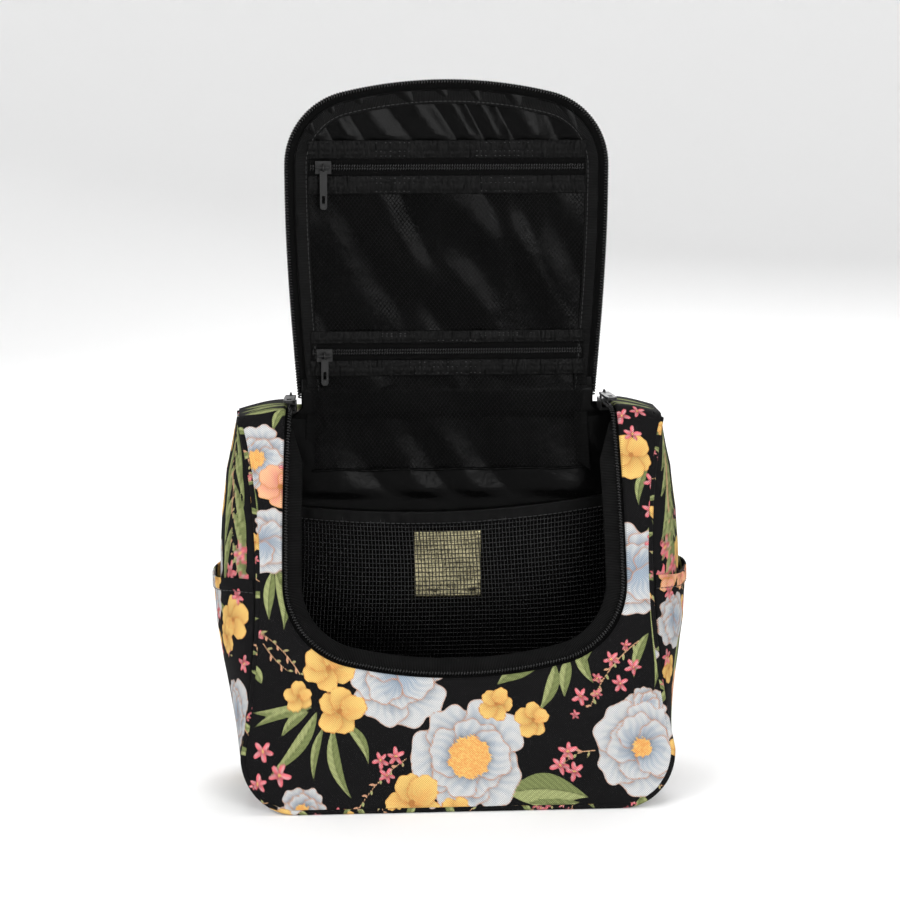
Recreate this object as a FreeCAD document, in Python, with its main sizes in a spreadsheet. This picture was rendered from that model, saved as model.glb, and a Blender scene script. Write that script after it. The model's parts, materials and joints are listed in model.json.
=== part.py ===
"""Hanging toiletry bag: printed canvas body with a stiffened lid on a U-shaped zip.

Frame: X to the right, Y to the back, Z up. The origin is the centre of the base's flat face.
The lid is open and stands straight up from the back shoulder.
"""
import FreeCAD, Part
import math
import os
from types import SimpleNamespace

import Sketcher
from FreeCAD import Placement, Rotation, Vector

# alias, millimetres, what it is
SIZES = [
    ("body_height", 192, "base to shoulder"),
    ("base_depth", 92, "front to back at the base"),
    ("shoulder_depth", 34, "front to back at the shoulder"),
    ("base_half_flat", 82, "half of the base's flat width"),
    ("base_corner", 27, "radius of the lower corners"),
    ("mid_half_width", 111.5, "half width where the sides bulge most"),
    ("mid_rise", 100, "height of that bulge"),
    ("top_half_width", 105.5, "half width at the shoulder"),
    ("canvas", 1.0, "coated canvas with its backing"),
    ("foam", 1.8, "foam in the body panels"),
    ("lining", 0.5, "satin lining"),
    ("board", 1.9, "stiffener in the base"),
    ("lid_length", 164, "hinge line to the lid's far edge"),
    ("lid_hinge_half", 76.5, "half width of the lid at its hinge"),
    ("lid_half_width", 82, "half width of the lid at its widest"),
    ("lid_corner", 38, "radius of the lid's corners"),
    ("lid_crown", 225, "radius of the lid's far edge"),
    ("lid_foam", 2.4, "foam in the lid"),
    ("lid_lining", 0.6, "lining of the lid"),
    ("coil_width", 2.4, "half of the main zip's coil"),
    ("coil_height", 2.4, "height of the coil through the tape"),
    ("zip_gap", 1.2, "between the two halves of the main zip"),
    ("tape", 0.6, "thickness of zip tape"),
    ("tape_reach", 9, "zip tape, from the coil's edge to under the canvas"),
    ("canvas_setback", 6, "canvas edge back from the coil's edge"),
    ("binding_width", 4, "grosgrain binding inside the lid"),
    ("binding", 1.0, "thickness of binding"),
    ("guard_width", 10, "bound seam behind the body's half of the zip"),
    ("piping", 1.25, "radius of the piping"),
    ("piping_gap", 0.1, "piping off its seam"),
    ("pocket_floor", 24, "height of the side pocket's floor"),
    ("pocket_top", 111, "height of the side pocket's hem"),
    ("pocket_reach", 118, "half width over the side pocket's hem"),
    ("pocket_wall", 1.2, "side pocket's hemmed fabric"),
    ("mesh_width", 172, "inner mesh pocket"),
    ("mesh_floor", 66, "height of the mesh pocket's lower edge"),
    ("mesh_height", 75, "mesh pocket, lower edge to top band"),
    ("mesh_depth", 8, "how far the mesh pocket stands off the wall"),
    ("mesh_wall", 0.8, "thickness of the mesh"),
    ("band_height", 7, "elastic band on the mesh pocket"),
    ("band", 1.4, "thickness of that band"),
    ("label_side", 35, "square label"),
    ("label", 0.6, "thickness of the label"),
    ("label_rise", 89.5, "height of the label's lower edge"),
    ("facing", 0.6, "fabric facings beside the pocket zips"),
    ("facing_width", 135, "facings and nets on the lid"),
    ("inner_tape_height", 8, "pocket zip tape, both halves"),
    ("inner_tape", 0.5, "thickness of pocket zip tape"),
    ("inner_coil_height", 2.4, "pocket zip coil, both halves"),
    ("inner_coil", 1.5, "thickness of the pocket zip's coil"),
    ("inner_coil_width", 133, "length of the pocket zip's coil"),
    ("upper_zip", 120, "upper pocket zip, from the hinge"),
    ("lower_zip", 24.5, "lower pocket zip, from the hinge"),
    ("net", 1.2, "net pocket lying on the lining"),
    ("upper_facing_top", 9, "facing above the upper zip"),
    ("upper_facing_low", 9, "facing below the upper zip"),
    ("lower_facing_top", 1.8, "facing above the lower zip, up to the fold"),
    ("lower_facing_low", 8, "facing below the lower zip"),
    ("upper_net_height", 68, "upper net"),
    ("lower_net_height", 29, "lower net inside the body"),
    ("lower_net_rise", 157, "height of the lower net's gathered seam"),
    ("slider_length", 8, "pocket zip slider along the zip"),
    ("slider_height", 6.4, "pocket zip slider across the zip"),
    ("slider_depth", 2.7, "pocket zip slider, tape side to top"),
    ("slider_park", 63, "pocket sliders, from the middle"),
    ("bail_rise", 2.4, "bail bar above the slider"),
    ("bail_bar", 0.7, "radius of the bail bar"),
    ("bail_post", 0.55, "radius of the bail's posts"),
    ("bail_half", 2.6, "half of a pocket slider's bail"),
    ("main_bail_half", 1.9, "half of a main slider's bail"),
    ("eye_ring", 1.6, "radius of the pull's eye"),
    ("eye_wire", 0.5, "radius of the eye's wire"),
    ("upper_pull", 21, "upper pull's length"),
    ("lower_pull", 15, "lower pull's length"),
    ("pull_width", 3.6, "width of the pocket pulls"),
    ("pull", 1.2, "thickness of every pull"),
    ("main_slider_length", 10, "main slider along the zip"),
    ("main_slider_park", 5, "main slider's end, from the hinge"),
    ("main_pull", 20, "main pull's length"),
    ("main_pull_width", 5.6, "main pull's width"),
    ("handle_width", 22, "webbing of the grab handle"),
    ("handle_start", 6, "handle's lower edge, from the hinge"),
    ("handle_half", 46, "half of the handle's arch"),
    ("handle_rise", 15, "arch of the handle"),
    ("handle_end", 66, "half of the handle's length, with its ends"),
    ("webbing", 1.6, "thickness of webbing"),
    ("tab_half", 10, "half width of the hook's tab"),
    ("tab_start", 118, "tab's lower end, from the hinge"),
    ("hanger_axis", 152, "hanger's bar, from the hinge"),
    ("hanger_off", 5, "hanger's bar behind the lid's face"),
    ("ring_wire", 1.5, "radius of the hanger ring's wire"),
    ("ring_half", 13, "half width of the hanger's ring"),
    ("ring_drop", 14, "height of the hanger's ring"),
    ("hook_inner", 14, "inner radius of the hook"),
    ("hook_outer", 18, "outer radius of the hook"),
    ("hook_half", 2.2, "half thickness of the hook"),
    ("hook_centre", 104, "centre of the hook's bend, from the hinge"),
    ("running", 0.4, "clearance round a bar or a shaft"),
    ("mitre_gap", 0.3, "clearance at each fold"),
]

doc = FreeCAD.newDocument("toiletry_bag")
sheet = doc.addObject("Spreadsheet::Sheet", "dims")
for row, (alias, size, note) in enumerate(SIZES, 1):
    sheet.set(f"A{row}", note)
    sheet.set(f"B{row}", str(size))
    sheet.setAlias(f"B{row}", alias)
doc.recompute()
d = SimpleNamespace(**{alias: float(sheet.get(alias)) for alias, _, _ in SIZES})

ALONG_X = Vector(1, 0, 0)
ALONG_Y = Vector(0, 1, 0)
ALONG_Z = Vector(0, 0, 1)
FAR = 300                       # larger than the bag, for clipping
half_depth = d.base_depth / 2
lean = math.atan((d.base_depth - d.shoulder_depth) / d.body_height)
lid_thick = d.canvas + d.lid_foam + d.lid_lining

# Each frame has X across the bag, Y along the lid away from its hinge, Z into the bag.
# LID is the open lid, SHOULDER and FRONT are where its two parts lie when it is closed.
hinge = Vector(0, half_depth, d.body_height)
front_down = Vector(0, -math.sin(lean), -math.cos(lean))
front_top = Vector(0, half_depth - d.shoulder_depth, d.body_height)
LID = Placement(hinge, Rotation(ALONG_X, 90))
SHOULDER = Placement(hinge, Rotation(ALONG_X, 180))
FRONT = Placement(front_top - front_down * d.shoulder_depth,
                  Rotation(ALONG_X, -90 - math.degrees(lean)))


# ---------------------------------------------------------------- helpers

def box(x, y, z):
    """A box from three (low, high) pairs."""
    return Part.makeBox(x[1] - x[0], y[1] - y[0], z[1] - z[0], Vector(x[0], y[0], z[0]))


def bar(radius, start, end):
    """A round bar between two points."""
    return Part.makeCylinder(radius, (end - start).Length, start, end - start)


def join(first, *others):
    """One solid from several."""
    whole = first.fuse(list(others)).removeSplitter()
    return whole


def feature(label, shape, place=None):
    """A sub-part whose shape is worked out here, then placed."""
    part = doc.addObject("Part::Feature", label)
    part.Shape = shape
    part.Label = label
    if place is not None:
        part.Placement = place
    return part


def pad_plate(label, width, length, thick, place):
    """A flat rectangle of cloth or board, padded from a sketch bound to the sheet."""
    body = doc.addObject("PartDesign::Body", label)
    sketch = body.newObject("Sketcher::SketchObject", label + "_outline")
    plane = [item for item in body.Origin.OriginFeatures if item.Role == "XY_Plane"][0]
    sketch.AttachmentSupport = [(plane, "")]
    sketch.MapMode = "FlatFace"
    half, far = getattr(d, width) / 2, getattr(d, length)
    corners = [Vector(-half, 0), Vector(half, 0), Vector(half, far), Vector(-half, far)]
    for index in range(4):
        sketch.addGeometry(Part.LineSegment(corners[index], corners[(index + 1) % 4]), False)
    for index in range(4):
        sketch.addConstraint(Sketcher.Constraint("Coincident", index, 2, (index + 1) % 4, 1))
    sketch.addConstraint(Sketcher.Constraint("Horizontal", 2))
    sketch.addConstraint(Sketcher.Constraint("Vertical", 1))
    sketch.addConstraint(Sketcher.Constraint("Vertical", 3))
    sketch.addConstraint(Sketcher.Constraint("Symmetric", 0, 1, 0, 2, -1, 1))
    across = sketch.addConstraint(Sketcher.Constraint("DistanceX", 0, 1, 0, 2, 2 * half))
    along = sketch.addConstraint(Sketcher.Constraint("DistanceY", 1, 1, 1, 2, far))
    sketch.renameConstraint(across, "across")
    sketch.renameConstraint(along, "along")
    sketch.setExpression("Constraints.across", "dims." + width)
    sketch.setExpression("Constraints.along", "dims." + length)
    pad = body.newObject("PartDesign::Pad", label + "_pad")
    pad.Profile = sketch
    pad.setExpression("Length", "dims." + thick)
    body.Placement = place
    return body


def on_lid(s, n):
    """Where a plate starts on the open lid: s from the hinge, n in from the outer face."""
    return LID.multiply(Placement(Vector(0, s, n), Rotation()))


def lid_face(inset):
    """The lid's U outline moved in by inset, carried on past the hinge line."""
    start = -12
    crown_y = d.lid_length - d.lid_crown
    corner_x = d.lid_half_width - d.lid_corner
    reach = d.lid_crown - d.lid_corner
    corner_y = crown_y + math.sqrt(reach ** 2 - corner_x ** 2)
    taper = d.lid_half_width - d.lid_hinge_half
    side = (corner_y ** 2 + taper ** 2) / (2 * taper)
    side_x = d.lid_half_width - side

    def on_side(y):
        return Vector(side_x + math.sqrt((side - inset) ** 2 - (corner_y - y) ** 2), y)

    turn = math.atan2(corner_y - crown_y, corner_x)
    corner = d.lid_corner - inset
    crown = d.lid_crown - inset
    shoulder = Vector(corner_x + corner, corner_y)
    corner_mid = Vector(corner_x + corner * math.cos(turn / 2), corner_y + corner * math.sin(turn / 2))
    crown_end = Vector(crown * math.cos(turn), crown_y + crown * math.sin(turn))
    right = [on_side(start), on_side((start + corner_y) / 2), shoulder, corner_mid, crown_end]
    left = [Vector(-point.x, point.y) for point in right]
    edges = [
        Part.Arc(right[0], right[1], right[2]),
        Part.Arc(right[2], right[3], right[4]),
        Part.Arc(right[4], Vector(0, d.lid_length - inset), left[4]),
        Part.Arc(left[4], left[3], left[2]),
        Part.Arc(left[2], left[1], left[0]),
        Part.LineSegment(left[0], right[0]),
    ]
    return Part.Face(Part.Wire([edge.toShape() for edge in edges]))


def lid_slab(inset, n_range, s_range):
    """A layer inside the lid's outline, between two depths and two distances from the hinge."""
    slab = lid_face(inset).extrude(Vector(0, 0, n_range[1] - n_range[0]))
    slab.translate(Vector(0, 0, n_range[0]))
    return slab.common(box((-FAR, FAR), s_range, n_range))


def lid_band(outer, inner, n_range, s_range):
    """A band that follows the lid's outline between two insets."""
    return lid_slab(outer, n_range, s_range).cut(lid_slab(inner, n_range, s_range))


def lid_edge(s, inset=0):
    """Half width of the lid's outline near its hinge."""
    section = lid_face(inset).common(box((0, FAR), (s, s + 0.01), (-1, 1)))
    return section.BoundBox.XMax


def outline_face(inset):
    """The body seen from the front, moved in by inset, up to the shoulder."""
    flat, radius = d.base_half_flat, d.base_corner - inset
    low = Vector(flat + radius, 0, d.base_corner)
    mid = Vector(d.mid_half_width - inset, 0, d.mid_rise)
    top = Vector(d.top_half_width - inset, 0, d.body_height)
    bend = radius * math.sqrt(0.5)
    corner_mid = Vector(flat + bend, 0, d.base_corner - bend)
    foot = Vector(flat, 0, inset)
    right = [foot, corner_mid, low, mid, top]
    left = [Vector(-point.x, 0, point.z) for point in right]
    edges = [
        Part.LineSegment(left[0], right[0]),
        Part.Arc(right[0], right[1], right[2]),
        Part.Arc(right[2], right[3], right[4]),
        Part.LineSegment(right[4], left[4]),
        Part.Arc(left[4], left[3], left[2]),
        Part.Arc(left[2], left[1], left[0]),
    ]
    return Part.Face(Part.Wire([edge.toShape() for edge in edges]))


def outline_prism(inset):
    """That outline carried from front to back."""
    prism = outline_face(inset).extrude(Vector(0, 2 * FAR, 0))
    prism.translate(Vector(0, -FAR, 0))
    return prism


def wedge(inset):
    """The body seen from the side: upright back, leaning front. Moved in at front and back."""
    back = half_depth - inset
    lean_in = inset / math.cos(lean)
    corners = [
        Vector(0, -half_depth + lean_in, 0), Vector(0, back, 0), Vector(0, back, d.body_height),
        Vector(0, front_top.y + lean_in, d.body_height),
    ]
    prism = Part.Face(Part.makePolygon(corners + corners[:1])).extrude(Vector(2 * FAR, 0, 0))
    prism.translate(Vector(-FAR, 0, 0))
    return prism


def front_layer(n_range, inset, mouth_inset, z_range):
    """A layer of the leaning front with the U-shaped mouth cut out of it."""
    layer = box((-FAR, FAR), (-FAR, FAR), n_range)
    layer.Placement = FRONT
    mouth = lid_slab(mouth_inset, (-5, 12), (20, FAR))
    mouth.Placement = FRONT
    layer = layer.common(outline_prism(inset)).common(box((-FAR, FAR), (-FAR, FAR), z_range))
    return layer.cut(mouth)


def pipe(points, radius):
    """A round tube along edges that meet smoothly."""
    path = Part.Wire([edge.toShape() for edge in points])
    start = path.Edges[0]
    at = start.valueAt(start.FirstParameter)
    along = start.tangentAt(start.FirstParameter)
    ring = Part.Wire([Part.makeCircle(radius, at, along)])
    return path.makePipeShell([ring], True, False)


# ---------------------------------------------------------------- body

def build_body():
    """Canvas, foam, board and lining of the standing body."""
    skin = d.canvas + 0.05
    inner = d.canvas + d.foam
    mouth = -(d.zip_gap + d.canvas_setback)
    front = front_layer((0, d.canvas), skin, mouth, (d.canvas, d.body_height))
    ears = outline_prism(skin).common(
        box((-FAR, FAR), (front_top.y, half_depth), (d.body_height - d.canvas, d.body_height)))
    shoulder_mouth = lid_slab(mouth, (-5, 12), (-10, FAR))
    shoulder_mouth.Placement = SHOULDER
    feature("front_panel", join(front, ears.cut(shoulder_mouth)))

    foam_top = d.body_height - inner
    feature("front_foam", front_layer((d.canvas, inner), inner, -(d.zip_gap + d.tape_reach),
                                      (d.board + d.canvas + 0.1, foam_top)))
    feature("front_lining", front_layer((inner, inner + d.lining), inner, mouth,
                                        (d.board + d.canvas + 0.6, foam_top)))

    layers = [("back_panel", 0, d.canvas, skin), ("back_foam", d.canvas, inner, inner),
              ("back_lining", inner, inner + d.lining, inner)]
    for label, near, deep, inset in layers:
        floor = d.canvas if label == "back_panel" else d.canvas + d.board + 0.1
        top = d.body_height - deep - d.mitre_gap
        slab = box((-FAR, FAR), (half_depth - deep, half_depth - near), (floor, top))
        feature(label, slab.common(outline_prism(inset)))

    ring = outline_prism(0).cut(outline_prism(d.canvas)).common(wedge(0))
    flat = d.base_half_flat
    feature("left_gusset", ring.common(box((-FAR, -flat), (-FAR, FAR), (-1, FAR))))
    feature("right_gusset", ring.common(box((flat, FAR), (-FAR, FAR), (-1, FAR))))
    feature("base_panel", ring.common(box((-flat, flat), (-FAR, FAR), (-1, FAR))))

    inside = wedge(inner + d.lining + 0.1)
    sleeve = outline_prism(skin).cut(outline_prism(skin + d.lining)).common(inside)
    upright = (d.base_corner, d.body_height - inner)
    feature("left_lining", sleeve.common(box((-FAR, 0), (-FAR, FAR), upright)))
    feature("right_lining", sleeve.common(box((0, FAR), (-FAR, FAR), upright)))
    tray = box((-flat, flat), (-half_depth + 5, half_depth - 4), (d.canvas, d.canvas + d.board))
    feature("base_board", tray)
    tray = box((-flat, flat), (-half_depth + 5, half_depth - 4),
               (d.canvas + d.board, d.canvas + d.board + d.lining))
    feature("base_lining", tray)


def build_piping():
    """Fabric-covered cord on the front and back seams, three sides each."""
    radius, off = d.piping, d.piping + d.piping_gap
    flat = d.base_half_flat
    corner = d.base_corner - off
    clear = off + 0.1

    def outline(low, top, down):
        """Edges in the plane of a seam; down is +1 where the plane's Y runs downwards."""
        bend = corner * math.sqrt(0.5)
        side = low - down * corner
        right = [Vector(d.top_half_width - off, top), Vector(flat + corner, side),
                 Vector(flat + bend, side + down * bend), Vector(flat, low)]
        rise = abs(side - top)
        taper = right[1].x - right[0].x
        sweep = (rise ** 2 + taper ** 2) / (2 * taper)
        middle = (side + top) / 2
        bow = Vector(right[1].x - sweep + math.sqrt(sweep ** 2 - (rise / 2) ** 2), middle)
        left = [Vector(-point.x, point.y) for point in right]
        return [
            Part.Arc(right[0], bow, right[1]), Part.Arc(right[1], right[2], right[3]),
            Part.LineSegment(right[3], left[3]), Part.Arc(left[3], left[2], left[1]),
            Part.Arc(left[1], Vector(-bow.x, bow.y), left[0]),
        ]

    drop = (d.body_height - clear + off * math.sin(lean)) / math.cos(lean)
    front = pipe(outline(d.shoulder_depth + drop, d.shoulder_depth + 2, 1), radius)
    feature("front_piping", front, FRONT.multiply(Placement(Vector(0, 0, -off), Rotation())))

    back = pipe(outline(clear, d.body_height - 2, -1), radius)
    back_face = Placement(Vector(0, half_depth + off, 0), Rotation(ALONG_X, 90))
    feature("back_piping", back, back_face)


def build_side_pockets():
    """Open-topped slip pockets on both gussets."""
    def wall(offset, low, high):
        """The space between the gusset and a line that leans out to the hem."""
        foot = d.base_half_flat + d.base_corner + 1.4 - offset
        reach = d.pocket_reach - offset
        slope = (reach - foot) / (d.pocket_top - d.pocket_floor)
        over = reach + slope * (high - d.pocket_top)
        corners = [Vector(d.base_half_flat, 0, low), Vector(foot, 0, low),
                   Vector(over, 0, high), Vector(d.base_half_flat, 0, high)]
        prism = Part.Face(Part.makePolygon(corners + corners[:1])).extrude(Vector(0, 2 * FAR, 0))
        prism.translate(Vector(0, -FAR, 0))
        return prism

    outer = wall(0, d.pocket_floor, d.pocket_top).cut(outline_prism(-0.1)).common(wedge(0.5))
    hollow = wall(d.pocket_wall, d.pocket_floor + 3, d.pocket_top + 5).common(wedge(2))
    pocket = outer.cut(hollow)
    feature("right_pocket", pocket)
    feature("left_pocket", pocket.mirror(Vector(), ALONG_X))


def build_main_zip():
    """The body's half of the U-shaped zip and the bound seam behind it."""
    coil = (-d.zip_gap - d.coil_width, -d.zip_gap)
    tape = (-d.zip_gap - d.tape_reach, coil[0])
    corner = d.canvas + d.mitre_gap
    on_shoulder = (corner, d.shoulder_depth - corner)
    on_front = (d.shoulder_depth + 2, FAR)
    names = [("front", FRONT, on_front), ("shoulder", SHOULDER, on_shoulder)]
    for name, place, reach in names:
        feature(f"body_coil_{name}", lid_band(*coil, (0, d.coil_height), reach), place)
        feature(f"body_tape_{name}",
                lid_band(*tape, (d.canvas, d.canvas + d.tape), reach), place)
    guard_n = d.canvas + d.foam + d.lining
    guard = lid_band(-d.guard_width / 2, d.guard_width / 2,
                     (guard_n, guard_n + d.binding), (d.shoulder_depth + 8, FAR))
    feature("zip_guard", guard, FRONT)


def build_inner_pocket():
    """Coarse mesh pocket on the back wall, its elastic band, and the label behind it."""
    wall = half_depth - d.canvas - d.foam - d.lining
    half, deep = d.mesh_width / 2, d.mesh_depth
    top = d.mesh_floor + d.mesh_height
    outer = box((-half, half), (wall - deep, wall), (d.mesh_floor, top))
    hollow = box((-half + d.mesh_wall, half - d.mesh_wall), (wall - deep + d.mesh_wall, wall + 1),
                 (d.mesh_floor + d.mesh_wall, top + 1))
    feature("mesh_pocket", outer.cut(hollow))
    face = Placement(Vector(0, wall - deep - 0.05, top - d.band_height), Rotation(ALONG_X, 90))
    pad_plate("mesh_band", "mesh_width", "band_height", "band", face)
    face = Placement(Vector(0, wall, d.label_rise), Rotation(ALONG_X, 90))
    pad_plate("label_patch", "label_side", "label_side", "label", face)
    face = Placement(Vector(0, wall, d.lower_net_rise), Rotation(ALONG_X, 90))
    pad_plate("lower_net_body", "facing_width", "lower_net_height", "net", face)


# ---------------------------------------------------------------- lid

def mitre_low(n):
    """Where the lid's lower part may start at a depth n, so that it clears the back wall."""
    return n + d.mitre_gap


def mitre_fold(n):
    """How far either side of the fold a layer of depth n has to stop."""
    return n * math.tan((math.pi / 2 - lean) / 2) + d.mitre_gap


def build_lid():
    """Both parts of the lid in the same layers: the part over the shoulder and the front part."""
    foam_n = d.canvas + d.lid_foam
    layers = [
        ("canvas", lid_slab, (d.canvas_setback,), (0, d.canvas)),
        ("tape", lid_band, (d.coil_width, d.tape_reach), (d.canvas, d.canvas + d.tape)),
        ("coil", lid_band, (0, d.coil_width), (0, d.coil_height)),
        ("foam", lid_slab, (d.tape_reach,), (d.canvas, foam_n)),
        ("lining", lid_slab, (d.canvas_setback + 0.5,), (foam_n, lid_thick)),
        ("binding", lid_band, (d.canvas_setback - 0.5, d.canvas_setback - 0.5 + d.binding_width),
         (lid_thick, lid_thick + d.binding)),
    ]
    for name, maker, insets, n_range in layers:
        fold = mitre_fold(n_range[1])
        lower = (mitre_low(n_range[1]), d.shoulder_depth - fold)
        feature(f"lid_{name}_lower", maker(*insets, n_range, lower), LID)
        feature(f"lid_{name}_upper", maker(*insets, n_range, (d.shoulder_depth + fold, FAR)), LID)


def build_net_pockets():
    """Two zipped net pockets on the lining: facings, tape, coil and net."""
    half_tape = d.inner_tape_height / 2
    for name, centre in (("upper", d.upper_zip), ("lower", d.lower_zip)):
        top_edge, low_edge = centre + half_tape, centre - half_tape
        low_facing = getattr(d, name + "_facing_low")
        pad_plate(f"{name}_facing_top", "facing_width", name + "_facing_top", "facing",
                  on_lid(top_edge, lid_thick))
        pad_plate(f"{name}_facing_low", "facing_width", name + "_facing_low", "facing",
                  on_lid(low_edge - low_facing, lid_thick))
        pad_plate(f"{name}_zip_tape", "facing_width", "inner_tape_height", "inner_tape",
                  on_lid(low_edge, lid_thick))
        pad_plate(f"{name}_zip_coil", "inner_coil_width", "inner_coil_height", "inner_coil",
                  on_lid(centre - d.inner_coil_height / 2, lid_thick + d.inner_tape))
    upper_low = d.upper_zip - half_tape - d.upper_facing_low
    pad_plate("upper_net", "facing_width", "upper_net_height", "net",
              on_lid(upper_low - d.upper_net_height, lid_thick))


def bail(base_z, reach):
    """Two posts and a bar along X over a slider's top at base_z."""
    bar_z = base_z + d.bail_rise
    cross = bar(d.bail_bar, Vector(-reach - d.bail_bar, 0, bar_z), Vector(reach + d.bail_bar, 0, bar_z))
    posts = [bar(d.bail_post, Vector(side * reach, 0, base_z - 0.3), Vector(side * reach, 0, bar_z))
             for side in (-1, 1)]
    return [cross] + posts


def pull_shape(length, width):
    """An eye round the bail's bar and a flat tab that runs from it along -Y."""
    eye = Part.makeTorus(d.eye_ring, d.eye_wire, Vector(), ALONG_X)
    half = width / 2
    tab = box((-half, half), (-length, -d.eye_ring), (-d.pull / 2, d.pull / 2))
    tab = tab.makeFillet(half * 0.8, [edge for edge in tab.Edges
                                      if abs(edge.CenterOfMass.y + length) < 0.01
                                      and abs(edge.CenterOfMass.z) < 0.01])
    slot = box((-half * 0.45, half * 0.45), (-length + 3, -length + 7), (-2, 2))
    return join(eye, tab.cut(slot))


def build_pocket_sliders():
    """Sliders of the two net pockets, each with a hanging pull."""
    bottom = lid_thick + d.inner_tape + d.running
    top = bottom + d.slider_depth
    long, high = d.slider_length / 2, d.slider_height / 2
    channel = d.inner_coil_height / 2 + d.running
    roof = lid_thick + d.inner_tape + d.inner_coil + d.running
    body = box((-long, long), (-high, high), (bottom, top))
    body = body.cut(box((-FAR, FAR), (-channel, channel), (0, roof)))
    slider = join(body, *bail(top, d.bail_half))
    for name, centre, length in (("upper", d.upper_zip, d.upper_pull),
                                 ("lower", d.lower_zip, d.lower_pull)):
        parked = LID.multiply(Placement(Vector(-d.slider_park, centre, 0), Rotation()))
        feature(f"{name}_slider", slider, parked)
        hung = LID.multiply(Placement(Vector(-d.slider_park, centre, top + d.bail_rise), Rotation()))
        feature(f"{name}_pull", pull_shape(length, d.pull_width), hung)


def build_main_sliders():
    """Two sliders parked at the ends of the main zip, on the body's half of the coil."""
    start, end = d.main_slider_park, d.main_slider_park + d.main_slider_length
    inner = 0.3                                    # off the lid's edge
    width = d.coil_width + d.zip_gap + 2
    top_z = d.running + d.canvas + 0.3             # top plate above the shoulder
    slope = math.atan((lid_edge(30) - lid_edge(4)) / 26)
    neck, outer = inner + 0.5, inner + width
    floor_z = -d.coil_height - d.running           # lower plate below the coil
    section = [(inner, floor_z - 1.2), (outer, floor_z - 1.2), (outer, floor_z), (neck, floor_z),
               (neck, d.running), (outer, d.running), (outer, top_z), (inner, top_z)]
    corners = [Vector(x, start, z) for x, z in section]
    plates = Part.Face(Part.makePolygon(corners + corners[:1])).extrude(Vector(0, end - start, 0))
    eye_at = Vector(inner + width / 2, (start + end) / 2, 0)
    loop = [piece.translated(eye_at) for piece in bail(top_z, d.main_bail_half)]
    slider = join(plates, *loop)
    pull = pull_shape(d.main_pull, d.main_pull_width)
    pull.rotate(Vector(), ALONG_Z, 180)            # the tab lies forwards
    pull.translate(eye_at + Vector(0, 0, top_z + d.bail_rise))
    # X outwards, Y forwards along the zip, Z up: the right shoulder, then its mirror image
    for name, side in (("right", 1), ("left", -1)):
        for kind, shape in (("slider", slider), ("pull", pull)):
            turned = shape.mirror(Vector(), ALONG_Y)
            turned.rotate(Vector(), ALONG_Z, math.degrees(slope))
            turned.translate(Vector(lid_edge(0.5), half_depth, d.body_height))
            if side < 0:
                turned = turned.mirror(Vector(), ALONG_X)
            feature(f"{name}_main_{kind}", turned)


# ---------------------------------------------------------------- handle and hanger

def build_handle():
    """Webbing grab handle over the outside of the lid's lower part."""
    rise, half = d.handle_rise, d.handle_half
    radius = (half ** 2 + rise ** 2) / (2 * rise)
    along = (d.handle_start, d.handle_start + d.handle_width)
    centre = Vector(0, along[0], radius - rise)
    arch = Part.makeCylinder(radius, d.handle_width, centre, ALONG_Y)
    arch = arch.cut(Part.makeCylinder(radius - d.webbing, d.handle_width, centre, ALONG_Y))
    skin = (-d.webbing - 0.05, -0.05)
    arch = arch.common(box((-half, half), along, (-FAR, -0.05)))
    ends = [box(sorted((side * (half - 2.5), side * d.handle_end)), along, skin)
            for side in (-1, 1)]
    feature("grab_handle", join(arch, *ends), LID)


def build_hanger():
    """Webbing tab, wire ring and moulded hook, hanging behind the lid."""
    axis = Vector(0, d.hanger_axis, -d.hanger_off)
    half = d.tab_half
    span = Vector(half, 0, 0)
    hole = bar(d.ring_wire + d.running, axis - span * 2, axis + span * 2)
    loop = bar(d.ring_wire + d.running + 1.2, axis - span, axis + span)
    flat = box((-half, half), (d.tab_start, d.hanger_axis - 4), (-1.5, -0.05))
    root = box((-half, half), (d.hanger_axis - 5, d.hanger_axis), (-3.2, -0.05))
    feature("hook_tab", join(loop, flat, root).cut(hole), LID)

    wide = d.ring_half
    low = Vector(0, d.hanger_axis - d.ring_drop, -d.hanger_off)
    corners = [axis + Vector(wide, 0, 0), axis - Vector(wide, 0, 0),
               low - Vector(wide, 0, 0), low + Vector(wide, 0, 0)]
    bars = [bar(d.ring_wire, corners[index], corners[(index + 1) % 4]) for index in range(4)]
    balls = [Part.makeSphere(d.ring_wire, corner) for corner in corners]
    feature("hanger_ring", join(bars[0], *bars[1:], *balls), LID)

    thick = (-d.hanger_off - d.hook_half, -d.hanger_off + d.hook_half)
    centre = Vector(0, d.hook_centre, thick[0])
    bend = Part.makeCylinder(d.hook_outer, 2 * d.hook_half, centre)
    bend = bend.cut(Part.makeCylinder(d.hook_inner, 2 * d.hook_half, centre))
    bend = bend.common(box((-FAR, FAR), (-FAR, d.hook_centre), thick))
    knee = d.hook_centre + 18
    stem = box((d.hook_inner, d.hook_outer), (d.hook_centre, knee), thick)
    tip = box((-d.hook_outer, -d.hook_inner), (d.hook_centre, d.hook_centre + 8), thick)
    neck_points = [Vector(d.hook_outer, knee, thick[0]), Vector(2.5, low.y - 1, thick[0]),
                   Vector(-2.5, low.y - 1, thick[0]), Vector(-2.5, low.y - 4, thick[0]),
                   Vector(d.hook_inner, knee - 3, thick[0]), Vector(d.hook_outer, knee - 3, thick[0])]
    neck = Part.Face(Part.makePolygon(neck_points + neck_points[:1]))
    neck = neck.extrude(Vector(0, 0, 2 * d.hook_half))
    across = Vector(4, 0, 0)
    eye = bar(d.ring_wire + 1.7, low - across, low + across)
    hook = join(bend, stem, tip, neck, eye)
    feature("hook", hook.cut(bar(d.ring_wire + 0.1, low - across * 2, low + across * 2)), LID)


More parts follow.
